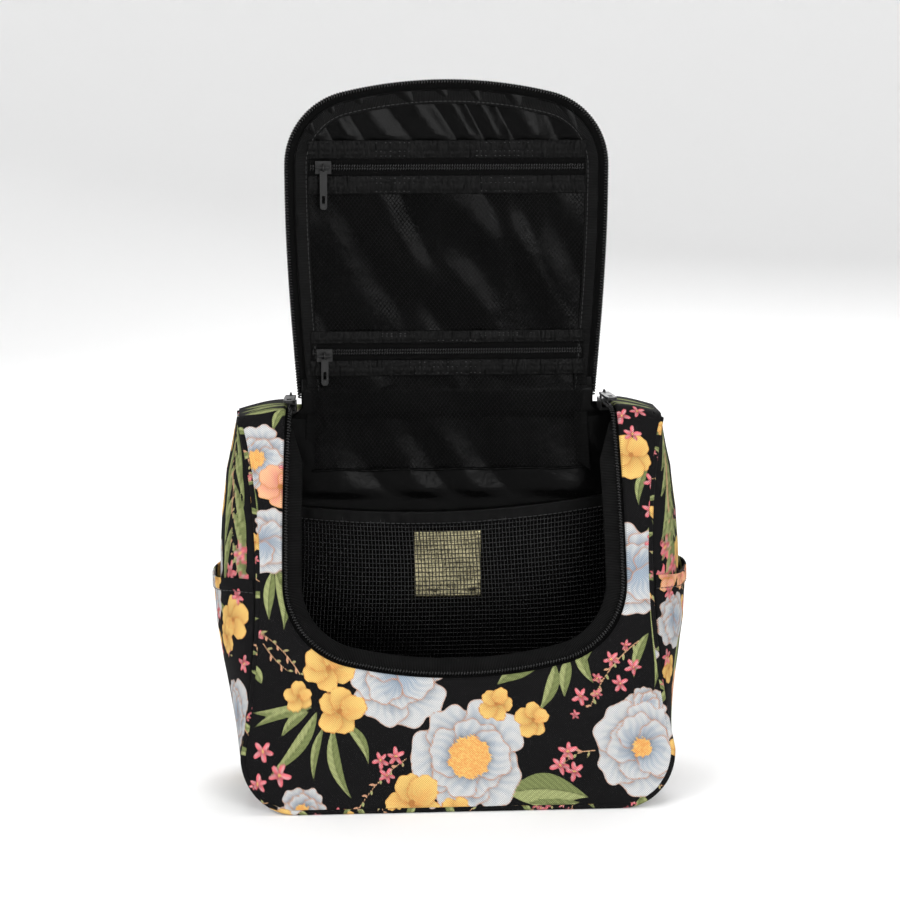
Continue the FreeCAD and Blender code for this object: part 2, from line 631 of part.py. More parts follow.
def check_and_write():
    """Recompute, refuse anything broken, and write one STEP file for each sub-part."""
    doc.recompute()
    broken = [item.Name for item in doc.Objects if {"Invalid", "Error"} & set(item.State)]
    parts = [item for item in doc.Objects if item.TypeId in ("Part::Feature", "PartDesign::Body")]
    for part in parts:
        shape = part.Shape
        if shape.isNull() or not shape.isValid() or not shape.Solids or shape.Volume <= 0:
            broken.append(part.Label)
    if broken:
        raise RuntimeError("broken: " + ", ".join(broken))
    os.makedirs("parts", exist_ok=True)
    for part in parts:
        part.Shape.exportStep(f"parts/{part.Label}.step")
        print(f"{part.Label:20s} {len(part.Shape.Solids)} solid(s) {part.Shape.Volume / 1000:8.3f} cm3")
    print(len(parts), "sub-parts, front leans", round(math.degrees(lean), 3), "degrees")


build_body()
build_piping()
build_side_pockets()
build_main_zip()
build_inner_pocket()
build_lid()
build_net_pockets()
build_pocket_sliders()
build_main_sliders()
build_handle()
build_hanger()
check_and_write()
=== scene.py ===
"""Looks of the hanging toiletry bag. Lengths here are in millimetres until a mesh is made."""
import json
import math

import bpy
import numpy as np
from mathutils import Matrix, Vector


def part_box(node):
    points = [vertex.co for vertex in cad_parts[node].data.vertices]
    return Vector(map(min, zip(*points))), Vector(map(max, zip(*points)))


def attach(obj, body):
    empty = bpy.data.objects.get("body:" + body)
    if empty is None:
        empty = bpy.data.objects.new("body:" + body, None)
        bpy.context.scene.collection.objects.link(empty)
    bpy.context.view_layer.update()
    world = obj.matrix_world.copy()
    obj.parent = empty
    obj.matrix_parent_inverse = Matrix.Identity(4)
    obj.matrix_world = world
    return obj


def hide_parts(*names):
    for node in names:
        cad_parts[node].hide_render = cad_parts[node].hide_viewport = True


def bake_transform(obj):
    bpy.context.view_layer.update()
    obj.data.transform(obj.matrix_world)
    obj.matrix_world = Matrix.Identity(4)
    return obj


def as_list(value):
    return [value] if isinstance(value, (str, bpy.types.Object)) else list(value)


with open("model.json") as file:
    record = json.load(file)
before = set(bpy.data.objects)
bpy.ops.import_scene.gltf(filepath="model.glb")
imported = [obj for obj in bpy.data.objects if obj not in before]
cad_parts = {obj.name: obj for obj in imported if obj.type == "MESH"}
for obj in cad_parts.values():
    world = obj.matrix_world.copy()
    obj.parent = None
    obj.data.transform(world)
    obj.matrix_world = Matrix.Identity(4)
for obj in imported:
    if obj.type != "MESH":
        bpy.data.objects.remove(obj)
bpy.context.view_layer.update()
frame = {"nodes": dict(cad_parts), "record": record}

MM = 0.001
TAU = 2 * math.pi

# ---------------------------------------------------------------- sizes, read from the frame

def edge_of(node, corner, axis):
    """One coordinate of a CAD node's box, in millimetres."""
    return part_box(node)[corner][axis] / MM


LOW, HIGH = 0, 1
HEIGHT = edge_of("front_panel", HIGH, 2)
HALF_DEPTH = edge_of("base_panel", HIGH, 1)
joint = {item["name"]: item for item in frame["record"]["behaviour"]["joints"]}
SHOULDER = (joint["lid_fold"]["pos_m"][2] - joint["lid_hinge"]["pos_m"][2]) / MM
LID_LENGTH = edge_of("lid_coil_upper", HIGH, 2) - HEIGHT
LID_HALF = edge_of("lid_coil_upper", HIGH, 0)
LID_HINGE_HALF = 76.5
LID_CORNER, LID_CROWN = 38, 225
LEAN = math.atan((2 * HALF_DEPTH - SHOULDER) / HEIGHT)
TURN = math.pi / 2 - LEAN                    # how far the lid's path turns at the front shoulder
WALL_Y = edge_of("back_lining", LOW, 1)      # inner face of the back wall
ZIP_GAP, COIL = 1.2, 2.4
CLOTH_EDGE = 4.2                             # canvas stops this far from the coil's edge

# half widths of the front seam, foot, waist and shoulder; the back seam has a fuller waist
SEAM_LOW, SEAM_MID, SEAM_TOP = 106.5, 98.0, 106.5
BACK_MID = 104.5
SEAM_CORNER = 26
SEAM_FLOOR = 1.4
STRIP = 92                                   # flat width of the side strip
CANVAS_THICK, SATIN_THICK = 1.2, 0.4
PIPING_RADIUS = 1.3
TUBE_SIDE = np.array([0.13, 0.99, 0.05])     # no line of the bag runs along this

# ---------------------------------------------------------------- colours

GROUND = (0.0065, 0.0063, 0.0066)
WHITE = np.array((0.58, 0.585, 0.585))
BLUE = np.array((0.30, 0.37, 0.45))
PEACH = np.array((0.62, 0.32, 0.20))
YELLOW = np.array((0.74, 0.48, 0.15))
ORANGE = np.array((0.74, 0.31, 0.09))
CORAL = np.array((0.85, 0.19, 0.22))
LEAF = np.array((0.18, 0.21, 0.080))
LEAF_PALE = np.array((0.32, 0.35, 0.15))


# ---------------------------------------------------------------- curves of the bag

def ears(points):
    """Lets the outer ends of the shoulders sink a little."""
    out = np.clip((np.abs(points[..., 0]) - 84) / (SEAM_TOP - 84), 0, 1.2)
    points[..., 2] -= 4.5 * out ** 1.5 * np.clip((points[..., 2] - 140) / 52, 0, 1)
    return points


def path_point(x, t, n=0.0):
    """Forward over the shoulder and down the front: t from the hinge, n into the bag."""
    bend = 9.0
    reach = bend * math.tan(TURN / 2)
    turned = np.clip((t - SHOULDER + reach) / (2 * reach), 0, 1) * TURN
    before = np.minimum(t, SHOULDER - reach)
    after = np.maximum(t - SHOULDER - reach, 0)
    y = HALF_DEPTH - before - bend * np.sin(turned) - after * math.cos(TURN) + n * np.sin(turned)
    z = HEIGHT - bend + bend * np.cos(turned) - after * math.sin(TURN) - n * np.cos(turned)
    x, y, z = np.broadcast_arrays(x, y, z)
    return ears(np.stack([x, y, z], -1).astype(float))


def lid_point(x, s, n=0.0):
    """On the open lid: s up from the hinge, n forwards from its outer face."""
    wide = 1 + 0.008 * np.clip((np.asarray(s, float) - 30) / 60, 0, 1)
    x, y, z = np.broadcast_arrays(x * wide, HALF_DEPTH - np.asarray(n, float),
                                  HEIGHT + np.asarray(s, float))
    return np.stack([x, y, z], -1).astype(float)


def lid_curve(k, inset):
    """The lid's U outline, k from 0 at the left hinge to 1 at the right: x and distance s."""
    k = np.asarray(k, float)
    side_end, corner_end = 0.268, 0.3805
    crown_y = LID_LENGTH - LID_CROWN
    corner_x = LID_HALF - LID_CORNER
    corner_y = crown_y + math.sqrt((LID_CROWN - LID_CORNER) ** 2 - corner_x ** 2)
    taper = LID_HALF - LID_HINGE_HALF
    side = (corner_y ** 2 + taper ** 2) / (2 * taper)
    turn = math.atan2(corner_y - crown_y, corner_x)
    near = np.minimum(k, 1 - k)
    rise = np.clip(near / side_end, 0, 1) * corner_y
    x_side = LID_HALF - side + np.sqrt((side - inset) ** 2 - (corner_y - rise) ** 2)
    bend = np.clip((near - side_end) / (corner_end - side_end), 0, 1) * turn
    x_bend = corner_x + (LID_CORNER - inset) * np.cos(bend)
    y_bend = corner_y + (LID_CORNER - inset) * np.sin(bend)
    over = turn + np.clip((near - corner_end) / (0.5 - corner_end), 0, 1) * (math.pi / 2 - turn)
    x_over = (LID_CROWN - inset) * np.cos(over)
    y_over = crown_y + (LID_CROWN - inset) * np.sin(over)
    x = np.where(near < side_end, x_side, np.where(near < corner_end, x_bend, x_over))
    s = np.where(near < side_end, rise, np.where(near < corner_end, y_bend, y_over))
    return np.where(k < 0.5, -x, x), s


def seam_curve(k, waist=SEAM_MID):
    """The body's outline from the front: x and height z, k from the left shoulder to the right."""
    k = np.asarray(k, float)
    side_end, corner_end = 0.29, 0.357
    near = np.minimum(k, 1 - k)
    foot = SEAM_FLOOR + SEAM_CORNER
    down = np.clip(near / side_end, 0, 1)
    z_side = HEIGHT - down * (HEIGHT - foot)
    above, below = np.clip(1 - down / 0.5, 0, 1), np.clip(down / 0.5 - 1, 0, 1)
    x_side = waist + (SEAM_TOP - waist) * above ** 2.1 + (SEAM_LOW - waist) * below ** 1.8
    bend = np.clip((near - side_end) / (corner_end - side_end), 0, 1) * math.pi / 2
    x_bend = SEAM_LOW - SEAM_CORNER + SEAM_CORNER * np.cos(bend)
    z_bend = foot - SEAM_CORNER * np.sin(bend)
    x_flat = (SEAM_LOW - SEAM_CORNER) * (1 - np.clip((near - corner_end) / (0.5 - corner_end), 0, 1))
    x = np.where(near < side_end, x_side, np.where(near < corner_end, x_bend, x_flat))
    z = np.where(near < side_end, z_side, np.where(near < corner_end, z_bend, SEAM_FLOOR))
    return np.where(k < 0.5, -x, x), z


def path_distance(z):
    """How far down the path the front reaches a height z."""
    return SHOULDER + (HEIGHT - z) / math.cos(LEAN)


def running_length(line):
    """Distance from the start at each point of a line."""
    return np.concatenate([[0], np.cumsum(np.linalg.norm(np.diff(line, axis=0), axis=1))])


def grid_of(*parts):
    """Points from coordinates that broadcast against each other."""
    return np.stack(np.broadcast_arrays(*parts), -1)


def lid_line(k, inset):
    """The lid's outline at an inset, as points."""
    return np.stack(lid_curve(k, inset), -1)


def unit(vectors):
    """The same directions with a length of one."""
    return vectors / np.linalg.norm(vectors, axis=1, keepdims=True)


def ripple(a, b, seed, scale=1.0):
    """Smooth uneven height over two coordinates, about -1 to 1: a few summed waves."""
    rng = np.random.default_rng(seed)
    total = np.zeros(np.broadcast(a, b).shape)
    for _ in range(7):
        across, along = rng.normal(size=2) * scale
        total = total + np.sin(a * across + b * along + rng.uniform(0, TAU))
    return total / 4


# ---------------------------------------------------------------- meshes

cuts = {}                                    # each cloth's width, length and area as cut, in millimetres


def new_piece(name, points, faces, material, body=None, nodes=(), flat=None, smooth=True):
    """A mesh object from points in millimetres, with its cut coordinates as a UV map."""
    mesh = bpy.data.meshes.new(name)
    points = np.asarray(points, float).reshape(-1, 3)
    faces = faces.tolist() if isinstance(faces, np.ndarray) else faces
    mesh.from_pydata((points * MM).tolist(), [], faces)
    mesh.polygons.foreach_set("use_smooth", np.full(len(mesh.polygons), smooth))
    if flat is not None:
        flat = np.asarray(flat, float).reshape(-1, 2)
        if all(len(face) == 4 for face in faces):
            u, v = np.moveaxis(flat[np.asarray(faces)], 2, 0)
            area = np.abs((u * np.roll(v, -1, 1) - v * np.roll(u, -1, 1)).sum(1)).sum() / 2
            cuts[name] = (*np.ptp(flat, axis=0), area)
        corner = np.empty(len(mesh.loops), np.int32)
        mesh.loops.foreach_get("vertex_index", corner)
        layer = mesh.uv_layers.new(name="cut")
        layer.data.foreach_set("uv", (flat[corner] * MM).astype(np.float32).ravel())
    mesh.materials.append(material)
    mesh.update()
    obj = bpy.data.objects.new(name, mesh)
    bpy.context.scene.collection.objects.link(obj)
    if body:
        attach(obj, body)
    if nodes:
        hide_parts(*nodes)
    return obj


def quads(rows, columns, close_rows=False, close_columns=False):
    """Faces of a grid of rows x columns points."""
    i = np.arange(rows if close_rows else rows - 1)[:, None]
    j = np.arange(columns if close_columns else columns - 1)[None, :]
    i2, j2 = (i + 1) % rows, (j + 1) % columns
    corners = [i * columns + j, i * columns + j2, i2 * columns + j2, i2 * columns + j]
    return grid_of(*corners).reshape(-1, 4)


def between(curve_a, curve_b, columns):
    """A grid of points from one curve across to another."""
    share = np.linspace(0, 1, columns)[None, :, None]
    return curve_a[:, None, :] * (1 - share) + curve_b[:, None, :] * share


def thicken(obj, thickness, offset=-1.0):
    """Gives cloth its thickness, in millimetres, behind its face."""
    modifier = obj.modifiers.new("thickness", "SOLIDIFY")
    modifier.thickness = thickness * MM
    modifier.offset = offset
    modifier.use_even_offset = False
    return obj


def frames_along(points):
    """Tangent and two normals at each point of a line."""
    tangent = unit(np.gradient(points, axis=0))
    side = unit(np.cross(tangent, TUBE_SIDE))
    return tangent, side, np.cross(side, tangent)


def tube(points, radius, sides=8, closed=False):
    """Points and faces of a tube round a line; radius may vary along it."""
    points = np.asarray(points, float)
    _, side, up = frames_along(points)
    angle = np.linspace(0, TAU, sides, endpoint=False)
    radius = np.broadcast_to(np.asarray(radius, float), (len(points),))[:, None, None]
    ring = (side[:, None, :] * np.cos(angle)[None, :, None]
            + up[:, None, :] * np.sin(angle)[None, :, None])
    grid = points[:, None, :] + ring * radius
    faces = quads(len(points), sides, closed, True).tolist()
    if not closed:
        last = (len(points) - 1) * sides
        faces.append(list(range(sides))[::-1])
        faces.append([last + index for index in range(sides)])
    return grid.reshape(-1, 3), faces


def merge(parts):
    """One list of points and faces from several."""
    points, faces, start = [], [], 0
    for part_points, part_faces in parts:
        points.append(part_points)
        faces += [[start + index for index in face] for face in part_faces]
        start += len(part_points)
    return np.concatenate(points), faces


def spaced(line, pitch):
    """Points an even distance apart along a line."""
    line = np.asarray(line, float)
    run = running_length(line)
    count = max(2, int(round(run[-1] / pitch)))
    at = np.linspace(0, run[-1], count)
    return np.stack([np.interp(at, run, line[:, axis]) for axis in range(line.shape[1])], -1)


# ---------------------------------------------------------------- the floral print

def petals(p, q, count, ring, long, wide, turn, ruffle, rng):
    """Each petal in turn: its field, positive inside and about in millimetres, and its own sides."""
    for index in range(count):
        angle = turn + TAU * index / count + rng.uniform(-0.2, 0.2)
        grow = rng.uniform(0.88, 1.1)
        along = p * math.cos(angle) + q * math.sin(angle) - ring * grow
        across = -p * math.sin(angle) + q * math.cos(angle)
        around = np.arctan2(across / wide, along / long)
        rim = grow + ruffle * np.sin(3 * around + rng.uniform(0, TAU)) + ruffle * 0.8 * np.sin(
            7 * around + rng.uniform(0, TAU)) - ruffle * 1.6 * np.exp(-(around / 0.25) ** 2)
        inside = (rim - np.hypot(along / long, across / wide)) * min(long, wide)
        yield inside, across / wide, along / long


def blend_colour(a, b, share):
    """From colour a to colour b by a share for each point."""
    return a + (np.asarray(b) - a) * np.clip(share, 0, 1)[:, None]


def lay_petal(field, colour, f, tone, line, line_width, shadow):
    """Lays a petal with its drawn edge over what is there, shading what lies just beside it."""
    shade = 1 - shadow * np.exp(np.minimum(f, 0) / 1.3)
    colour = np.where((f > 0)[:, None], tone, colour * shade[:, None])
    drawn = np.exp(-((f - line_width * 0.6) / line_width) ** 2)
    colour = blend_colour(colour, line, drawn * (f > -line_width))
    return np.maximum(field, f), colour


def white_flower(p, q, size, turn, rng, heart=0.27):
    """Large ruffled petals, blue towards a speckled orange centre."""
    r = np.hypot(p, q) / size
    angle = np.arctan2(q, p)
    field = np.full(len(p), -9.0)
    colour = np.tile(WHITE, (len(p), 1))
    rings = ((5, 0.56, 0.45, 0.52, 0.07, 1.0), (5, 0.33, 0.36, 0.40, 0.07, 0.72))
    for count, ring, long, wide, ruffle, reach in rings:
        turn += 0.55
        for f, side, out in petals(p, q, count, ring * size, long * size, wide * size, turn, ruffle,
                                   rng):
            streak = 0.5 + 0.5 * np.sin(angle * 23 + 3 * np.sin(r * 9 + side * 2))
            deep = 1.0 - r / reach * 1.35 + 0.40 * streak * (r < reach)
            tone = blend_colour(WHITE * np.ones((len(p), 1)), BLUE, deep)
            tone = blend_colour(tone, BLUE * 0.75,
                                0.35 * np.exp(-((side + 0.5) / 0.22) ** 2) * (out < 0.3))
            field, colour = lay_petal(field, colour, f, tone, PEACH * 0.8, 0.26, 0.26)
    centre = heart * size - r * size + 0.02 * size * np.sin(9 * angle + 1) + rng.normal(0, 0.35, len(p))
    speckle = rng.uniform(0, 1, len(p)) ** 1.2
    tone = blend_colour(ORANGE * np.ones((len(p), 1)), YELLOW * 1.1, speckle)
    colour = colour * (1 - 0.45 * np.exp(-np.maximum(-centre, 0) / 1.2))[:, None]
    colour = np.where((centre > 0)[:, None], tone, colour)
    return np.maximum(field, centre), colour


def yellow_flower(p, q, size, turn, rng, pale=YELLOW, deep=ORANGE):
    """Five round petals with darker streaks from the centre."""
    r = np.hypot(p, q) / size
    angle = np.arctan2(q, p)
    field = np.full(len(p), -9.0)
    colour = np.tile(YELLOW, (len(p), 1))
    for f, side, out in petals(p, q, 5, 0.52 * size, 0.50 * size, 0.46 * size, turn, 0.04, rng):
        fine = 0.55 + 0.45 * np.sin(angle * 31 + 2 * side)
        streak = (1.0 - r * 1.25) * fine + 0.15 * np.sin(side * 4)
        tone = blend_colour(pale * np.ones((len(p), 1)), deep, streak)
        tone = tone * (1 + 0.12 * np.clip(out, -1, 1))[:, None]
        field, colour = lay_petal(field, colour, f, tone, ORANGE * 0.8, 0.20, 0.22)
    centre = (0.11 - r) * size
    colour = np.where((centre > 0)[:, None], ORANGE * 0.6, colour)
    return np.maximum(field, centre), colour


def pink_flower(p, q, size, turn, rng):
    """Five narrow pointed petals."""
    r = np.hypot(p, q) / size
    field = np.full(len(p), -9.0)
    colour = np.tile(CORAL, (len(p), 1))
    for f, side, _ in petals(p, q, 5, 0.54 * size, 0.52 * size, 0.24 * size, turn, 0.05, rng):
        tone = blend_colour(CORAL * np.ones((len(p), 1)), CORAL * 0.6, 0.9 - 2.6 * r)
        tone = blend_colour(tone, WHITE * 0.9, 0.6 * np.exp(-((side - 0.5) / 0.35) ** 2))
        field, colour = lay_petal(field, colour, f, tone, CORAL * 0.6, 0.16, 0.25)
    centre = (0.12 - r) * size
    colour = np.where((centre > 0)[:, None], YELLOW, colour)
    return field, colour


PAINTERS = {
    "white": white_flower,
    "closed": lambda *place: white_flower(*place, heart=-1.0),
    "small": lambda *place: white_flower(*place, heart=0.20),
    "wide": lambda *place: white_flower(*place, heart=0.35),
    "yellow": yellow_flower,
    "peach": lambda *place: yellow_flower(*place, pale=PEACH * 1.1 + YELLOW * 0.15, deep=CORAL),
    "pink": pink_flower,
}


def leaf(p, q, length, wide, curve, tone=LEAF):
    """A narrow leaf from the origin along p, bowed sideways by curve."""
    share = np.clip(p / length, 0, 1)
    bowed = q - 4 * curve * share * (1 - share)
    half = wide * np.sin(math.pi * share ** 0.8) ** 1.1
    beyond = np.maximum(np.maximum(-p, p - length), 0)
    field = half - np.abs(bowed) - beyond
    colour = blend_colour(tone * np.ones((len(p), 1)), LEAF_PALE, 0.5 + 0.5 * np.sign(bowed))
    vein = np.exp(-(bowed / 0.3) ** 2)
    colour = blend_colour(colour, tone * 0.4, 0.7 * vein)
    colour = colour * (1 + 0.12 * np.sin(p * 1.7 + 2.3 * np.abs(bowed)))[:, None]
    colour = blend_colour(colour, tone * 0.5, 0.5 * np.exp(-((field - 0.1) / 0.25) ** 2))
    return field, colour


def stem(p, q, length, curve, rng):
    """A thin stalk with small buds on both sides."""
    share = np.clip(p / length, 0, 1)
    bowed = q - 4 * curve * share * (1 - share)
    beyond = np.maximum(np.maximum(-p, p - length), 0)
    field = 0.30 - np.abs(bowed) - beyond
    colour = np.tile(PEACH * 0.8 + LEAF * 0.3, (len(p), 1))
    buds = max(3, int(length / 3.2))
    for index in range(buds):
        at = (index + 0.8) / buds
        side = 1 if index % 2 else -1
        root_p, root_q = at * length, 4 * curve * at * (1 - at)
        angle = side * rng.uniform(0.5, 0.95)
        c, s = math.cos(angle), math.sin(angle)
        a = (p - root_p) * c + (q - root_q) * s
        b = -(p - root_p) * s + (q - root_q) * c
        bud_length = rng.uniform(2.4, 4.4)
        f = 0.60 * np.sin(math.pi * np.clip(a / bud_length, 0, 1)) - np.abs(b)
        f = f - np.maximum(np.maximum(-a, a - bud_length), 0)
        tone = PEACH * 0.9 if index % 2 else LEAF_PALE
        colour = np.where((f > 0)[:, None], tone, colour)
        field = np.maximum(field, f)
    return field, colour


def paint(flat, motifs, seed=3):
    """Ink field and colour at each point of a cut panel, from a list of motifs, lowest first."""
    flat = np.asarray(flat, float).reshape(-1, 2)
    field = np.full(len(flat), -3.0)
    colour = np.tile(WHITE * 0.5, (len(flat), 1))
    for order, motif in enumerate(motifs):
        rng = np.random.default_rng(seed + 17 * order)
        kind, u, v = motif[:3]
        if kind in ("leaf", "stem"):
            end_u, end_v, wide, curve = motif[3:]
            reach = math.hypot(end_u - u, end_v - v)
            turn = math.atan2(end_v - v, end_u - u)
            limit = reach * 1.1 + wide + abs(curve) + 2
        else:
            size, turn = motif[3:]
            limit = size * 1.25 + 2
        near = np.flatnonzero(np.hypot(flat[:, 0] - u, flat[:, 1] - v) < limit)
        if not len(near):
            continue
        du, dv = flat[near, 0] - u, flat[near, 1] - v
        if kind in ("leaf", "stem"):
            p = du * math.cos(turn) + dv * math.sin(turn)
            q = -du * math.sin(turn) + dv * math.cos(turn)
            if kind == "leaf":
                f, tone = leaf(p, q, reach, wide, curve)
            else:
                f, tone = stem(p, q, reach, curve, rng)
        else:
            f, tone = PAINTERS[kind](du, dv, size, turn, rng)
        over = (f > 0) | (f > field[near])
        colour[near] = np.where(over[:, None], tone, colour[near])
        field[near] = np.maximum(field[near], f)
    return field, colour


def ink(obj, flat, motifs, seed=3):
    """Puts the print on a piece of canvas."""
    field, colour = paint(flat, motifs, seed)
    layer = obj.data.attributes.new("ink", "FLOAT", "POINT")
    layer.data.foreach_set("value", field.astype(np.float32))
    layer = obj.data.attributes.new("ink_colour", "FLOAT_COLOR", "POINT")
    rgba = np.concatenate([np.clip(colour, 0, 1), np.ones((len(colour), 1))], 1)
    layer.data.foreach_set("color", rgba.astype(np.float32).ravel())
    return obj


def bunch(u, v, turn, size):
    """One cluster of the repeating print: a white flower, yellow ones, leaves and small sprays."""
    def at(du, dv):
        c, s = math.cos(turn), math.sin(turn)
        return u + size * (du * c - dv * s), v + size * (du * s + dv * c)

    motifs = []
    for du, dv, eu, ev, wide, curve in (
            (-0.6, 0.3, -2.0, 0.1, 0.14, 0.1), (-0.5, 0.5, -1.7, 1.2, 0.16, -0.1),
            (0.4, 0.7, 0.9, 1.9, 0.15, 0.12),
            (0.7, 0.4, 1.9, 1.2, 0.15, -0.1), (0.5, -0.6, 1.6, -1.3, 0.15, 0.1),
            (-0.3, -0.7, -1.1, -1.7, 0.14, 0.1)):
        motifs.append(("leaf", *at(du, dv), *at(eu, ev), wide * size, curve * size))
    motifs.append(("stem", *at(-0.9, -0.8), *at(-2.0, -0.9), 0.5, 0.1 * size))
    motifs.append(("stem", *at(1.2, 0.0), *at(2.2, -0.3), 0.5, 0.1 * size))
    motifs.append(("white", *at(0, 0), size, turn))
    motifs.append(("yellow", *at(1.15, 0.75), 0.52 * size, turn))
    motifs.append(("yellow", *at(-1.25, 0.85), 0.42 * size, turn + 0.7))
    for du, dv in ((1.7, -0.6), (1.95, -0.25), (-1.7, -0.45), (-1.5, -0.1), (0.2, 1.45), (0.45, 1.75)):
        motifs.append(("pink", *at(du, dv), 0.19 * size, turn + du))
    return motifs


def scatter(low, high, seed, size=17.0):
    """Clusters of the print over a rectangle, in staggered rows."""
    rng = np.random.default_rng(seed)
    motifs = []
    step = size * 3.3
    rows = int((high[1] - low[1]) / step) + 2
    columns = int((high[0] - low[0]) / step) + 2
    for row in range(rows):
        for column in range(columns):
            u = low[0] + (column + 0.5 * (row % 2)) * step + rng.uniform(-6, 6)
            v = low[1] + row * step + rng.uniform(-6, 6)
            motifs += bunch(u, v, rng.uniform(0, TAU), size * rng.uniform(0.85, 1.25))
    return motifs


# By kind, lowest first: x and distance down the path in millimetres, then size and turn. A leaf or
# stem has both its ends, its width and its bow.
FRONT_GROUPS = (
    ("leaf", [(-104, 8, -80, 16, 2.4, 1), (-106, 18, -80, 22, 2.6, -1), (-104, 28, -82, 30, 2.6, 1),
        (82, 8, 106, 14, 2.4, 1), (82, 26, 106, 20, 2.4, 1)]),
    ("pink", [(94, 34, 4.4, 0.5)]),
    ("leaf", [(-73, 180, -103, 184, 2.6, -2), (-72, 182, -102, 192, 2.4, 2),
        (-74, 184, -88, 197, 2.6, 2), (-70, 184, -94, 215, 3.4, -3), (-67, 192, -72, 219, 2.0, 2),
        (-62, 192, -53, 228, 3.2, 4), (-57, 190, -45, 211, 2.6, -3), (-91, 114, -93, 139, 2.6, 1),
        (-90, 114, -86, 144, 2.8, -2), (-89, 114, -76, 143, 2.8, -3), (-97, 170, -104, 158, 2.2, 1),
        (42, 163, 19, 173, 4.0, 2), (49, 163, 40, 186, 3.2, -2), (56, 160, 53, 180, 3.0, 1),
        (61, 152, 68, 173, 3.0, 2), (70, 150, 64, 163, 2.0, 1), (97, 130, 98, 176, 2.8, -3),
        (96, 148, 88, 171, 2.4, 2), (101, 140, 103, 190, 2.6, -2), (24, 226, 64, 229, 8.0, -3),
        (34, 231, 60, 231, 3.0, 1), (98, 64, 93, 84, 2.2, 2), (100, 92, 90, 108, 2.4, -2),
        (-84, 30, -90, 44, 2.2, 1), (-104, 60, -98, 100, 2.2, -1), (-78, 20, -104, 26, 2.4, 1),
        (80, 18, 104, 26, 2.4, 1), (84, 236, 104, 222, 3.0, 1), (-106, 226, -92, 238, 3.0, 1)]),
    ("stem", [(-100, 143, -78, 166, 0.5, -2), (-26, 208, -50, 232, 0.5, 2),
        (91, 152, 66, 184, 0.5, 3), (68, 206, 52, 212, 0.5, 2), (-96, 150, -84, 164, 0.5, 1)]),
    ("closed", [(-29, 167, 25, 0.3), (91, 117, 24, 1.1)]),
    ("white", [(-99, 57, 18, 0.5)]),
    ("closed", [(-95, 100, 17, 2.0)]),
    ("white", [(-78, 233, 13, 1.0)]),
    ("closed", [(94, 184, 10, 0.2)]),
    ("small", [(91, 205, 24, 0.9)]),
    ("wide", [(5, 208, 30, 0.0)]),
    ("yellow", [(-64, 163, 13.0, 0.3), (-79, 176.5, 7.4, 0.9), (-59, 184, 12.6, 1.2),
        (19, 182, 9.0, 0.2), (37, 190, 9.0, 1.0), (-24, 230, 15.0, 0.6), (-2, 234, 8.0, 0.2),
        (90, 58, 11.5, 0.4)]),
    ("peach", [(-87, 72, 12.0, 0.4)]),
    ("pink", [(-97, 203, 5.2, 0.2), (-99.5, 219, 4.8, 0.9), (-89, 215, 5.6, 1.5),
        (-99, 146, 3.4, 0.5), (-39, 208.6, 4.2, 0.4), (-31.6, 206.7, 4.4, 1.0), (-36, 216, 4.2, 0.1),
        (-60, 235, 4.0, 0.8), (77, 161, 4.4, 0.4), (84.5, 154, 3.0, 1.1), (88, 165, 4.2, 0.2),
        (81, 173, 4.6, 0.8), (61, 179, 4.6, 0.3), (69.5, 170, 2.8, 1.3), (69.5, 178, 2.8, 0.3),
        (58, 188, 2.6, 0.9), (54, 206, 4.6, 0.9), (50, 213, 5.0, 0.2), (57, 216, 4.8, 0.7),
        (86, 38, 4.4, 0.3), (91, 47, 4.2, 1.1), (100, 71, 4.6, 0.3), (99, 86, 5.0, 0.9),
        (100, 102, 4.8, 0.2), (-82, 62, 5.4, 0.6), (-79, 72, 4.2, 0.1)]),
)
FRONT_PRINT = [(kind, *place) for kind, places in FRONT_GROUPS for place in places]


# ---------------------------------------------------------------- materials

MIX_A, MIX_B, MIX_RESULT = 6, 7, 2            # a Mix node's sockets for colours


def shader(name, roughness=0.7, **sockets):
    """A new material with its Principled shader's own sockets set."""
    material = bpy.data.materials.new(name)
    material.use_nodes = True
    nodes, links = material.node_tree.nodes, material.node_tree.links
    principled = nodes["Principled BSDF"]
    principled.inputs["Roughness"].default_value = roughness
    for socket, value in sockets.items():
        principled.inputs[socket.replace("_", " ")].default_value = value
    return material, nodes, links, principled


def node(nodes, kind, **settings):
    """A shader node; settings that name a socket set it, others set a property."""
    made = nodes.new(kind)
    for name, value in settings.items():
        socket = name.replace("_", " ")
        if socket in made.inputs:
            made.inputs[socket].default_value = value
        else:
            setattr(made, name, value)
    return made


def cut_waves(nodes, links, pitches):
    """Wave bands over the cut coordinates, one for each (pitch in mm, turn) pair."""
    cut = node(nodes, "ShaderNodeUVMap", uv_map="cut")
    waves = []
    for pitch, turn in pitches:
        turned = node(nodes, "ShaderNodeMapping")
        turned.inputs["Rotation"].default_value = (0, 0, turn)
        wave = node(nodes, "ShaderNodeTexWave", Scale=TAU / 20 / (pitch * MM), Distortion=0.0)
        links.new(cut.outputs[0], turned.inputs[0])
        links.new(turned.outputs[0], wave.inputs["Vector"])
        waves.append(wave)
    return waves


def spread_to(nodes, links, value, low, high):
    """A value from 0 to 1 spread to another range."""
    made = node(nodes, "ShaderNodeMapRange", To_Min=low, To_Max=high)
    links.new(value, made.inputs["Value"])
    return made.outputs[0]


def math_node(nodes, links, operation, a, b=None):
    """A Math node on two outputs or numbers."""
    made = node(nodes, "ShaderNodeMath", operation=operation)
    for index, value in enumerate((a, b)):
        if value is None:
            continue
        if isinstance(value, (int, float)):
            made.inputs[index].default_value = value
        else:
            links.new(value, made.inputs[index])
    return made.outputs[0]


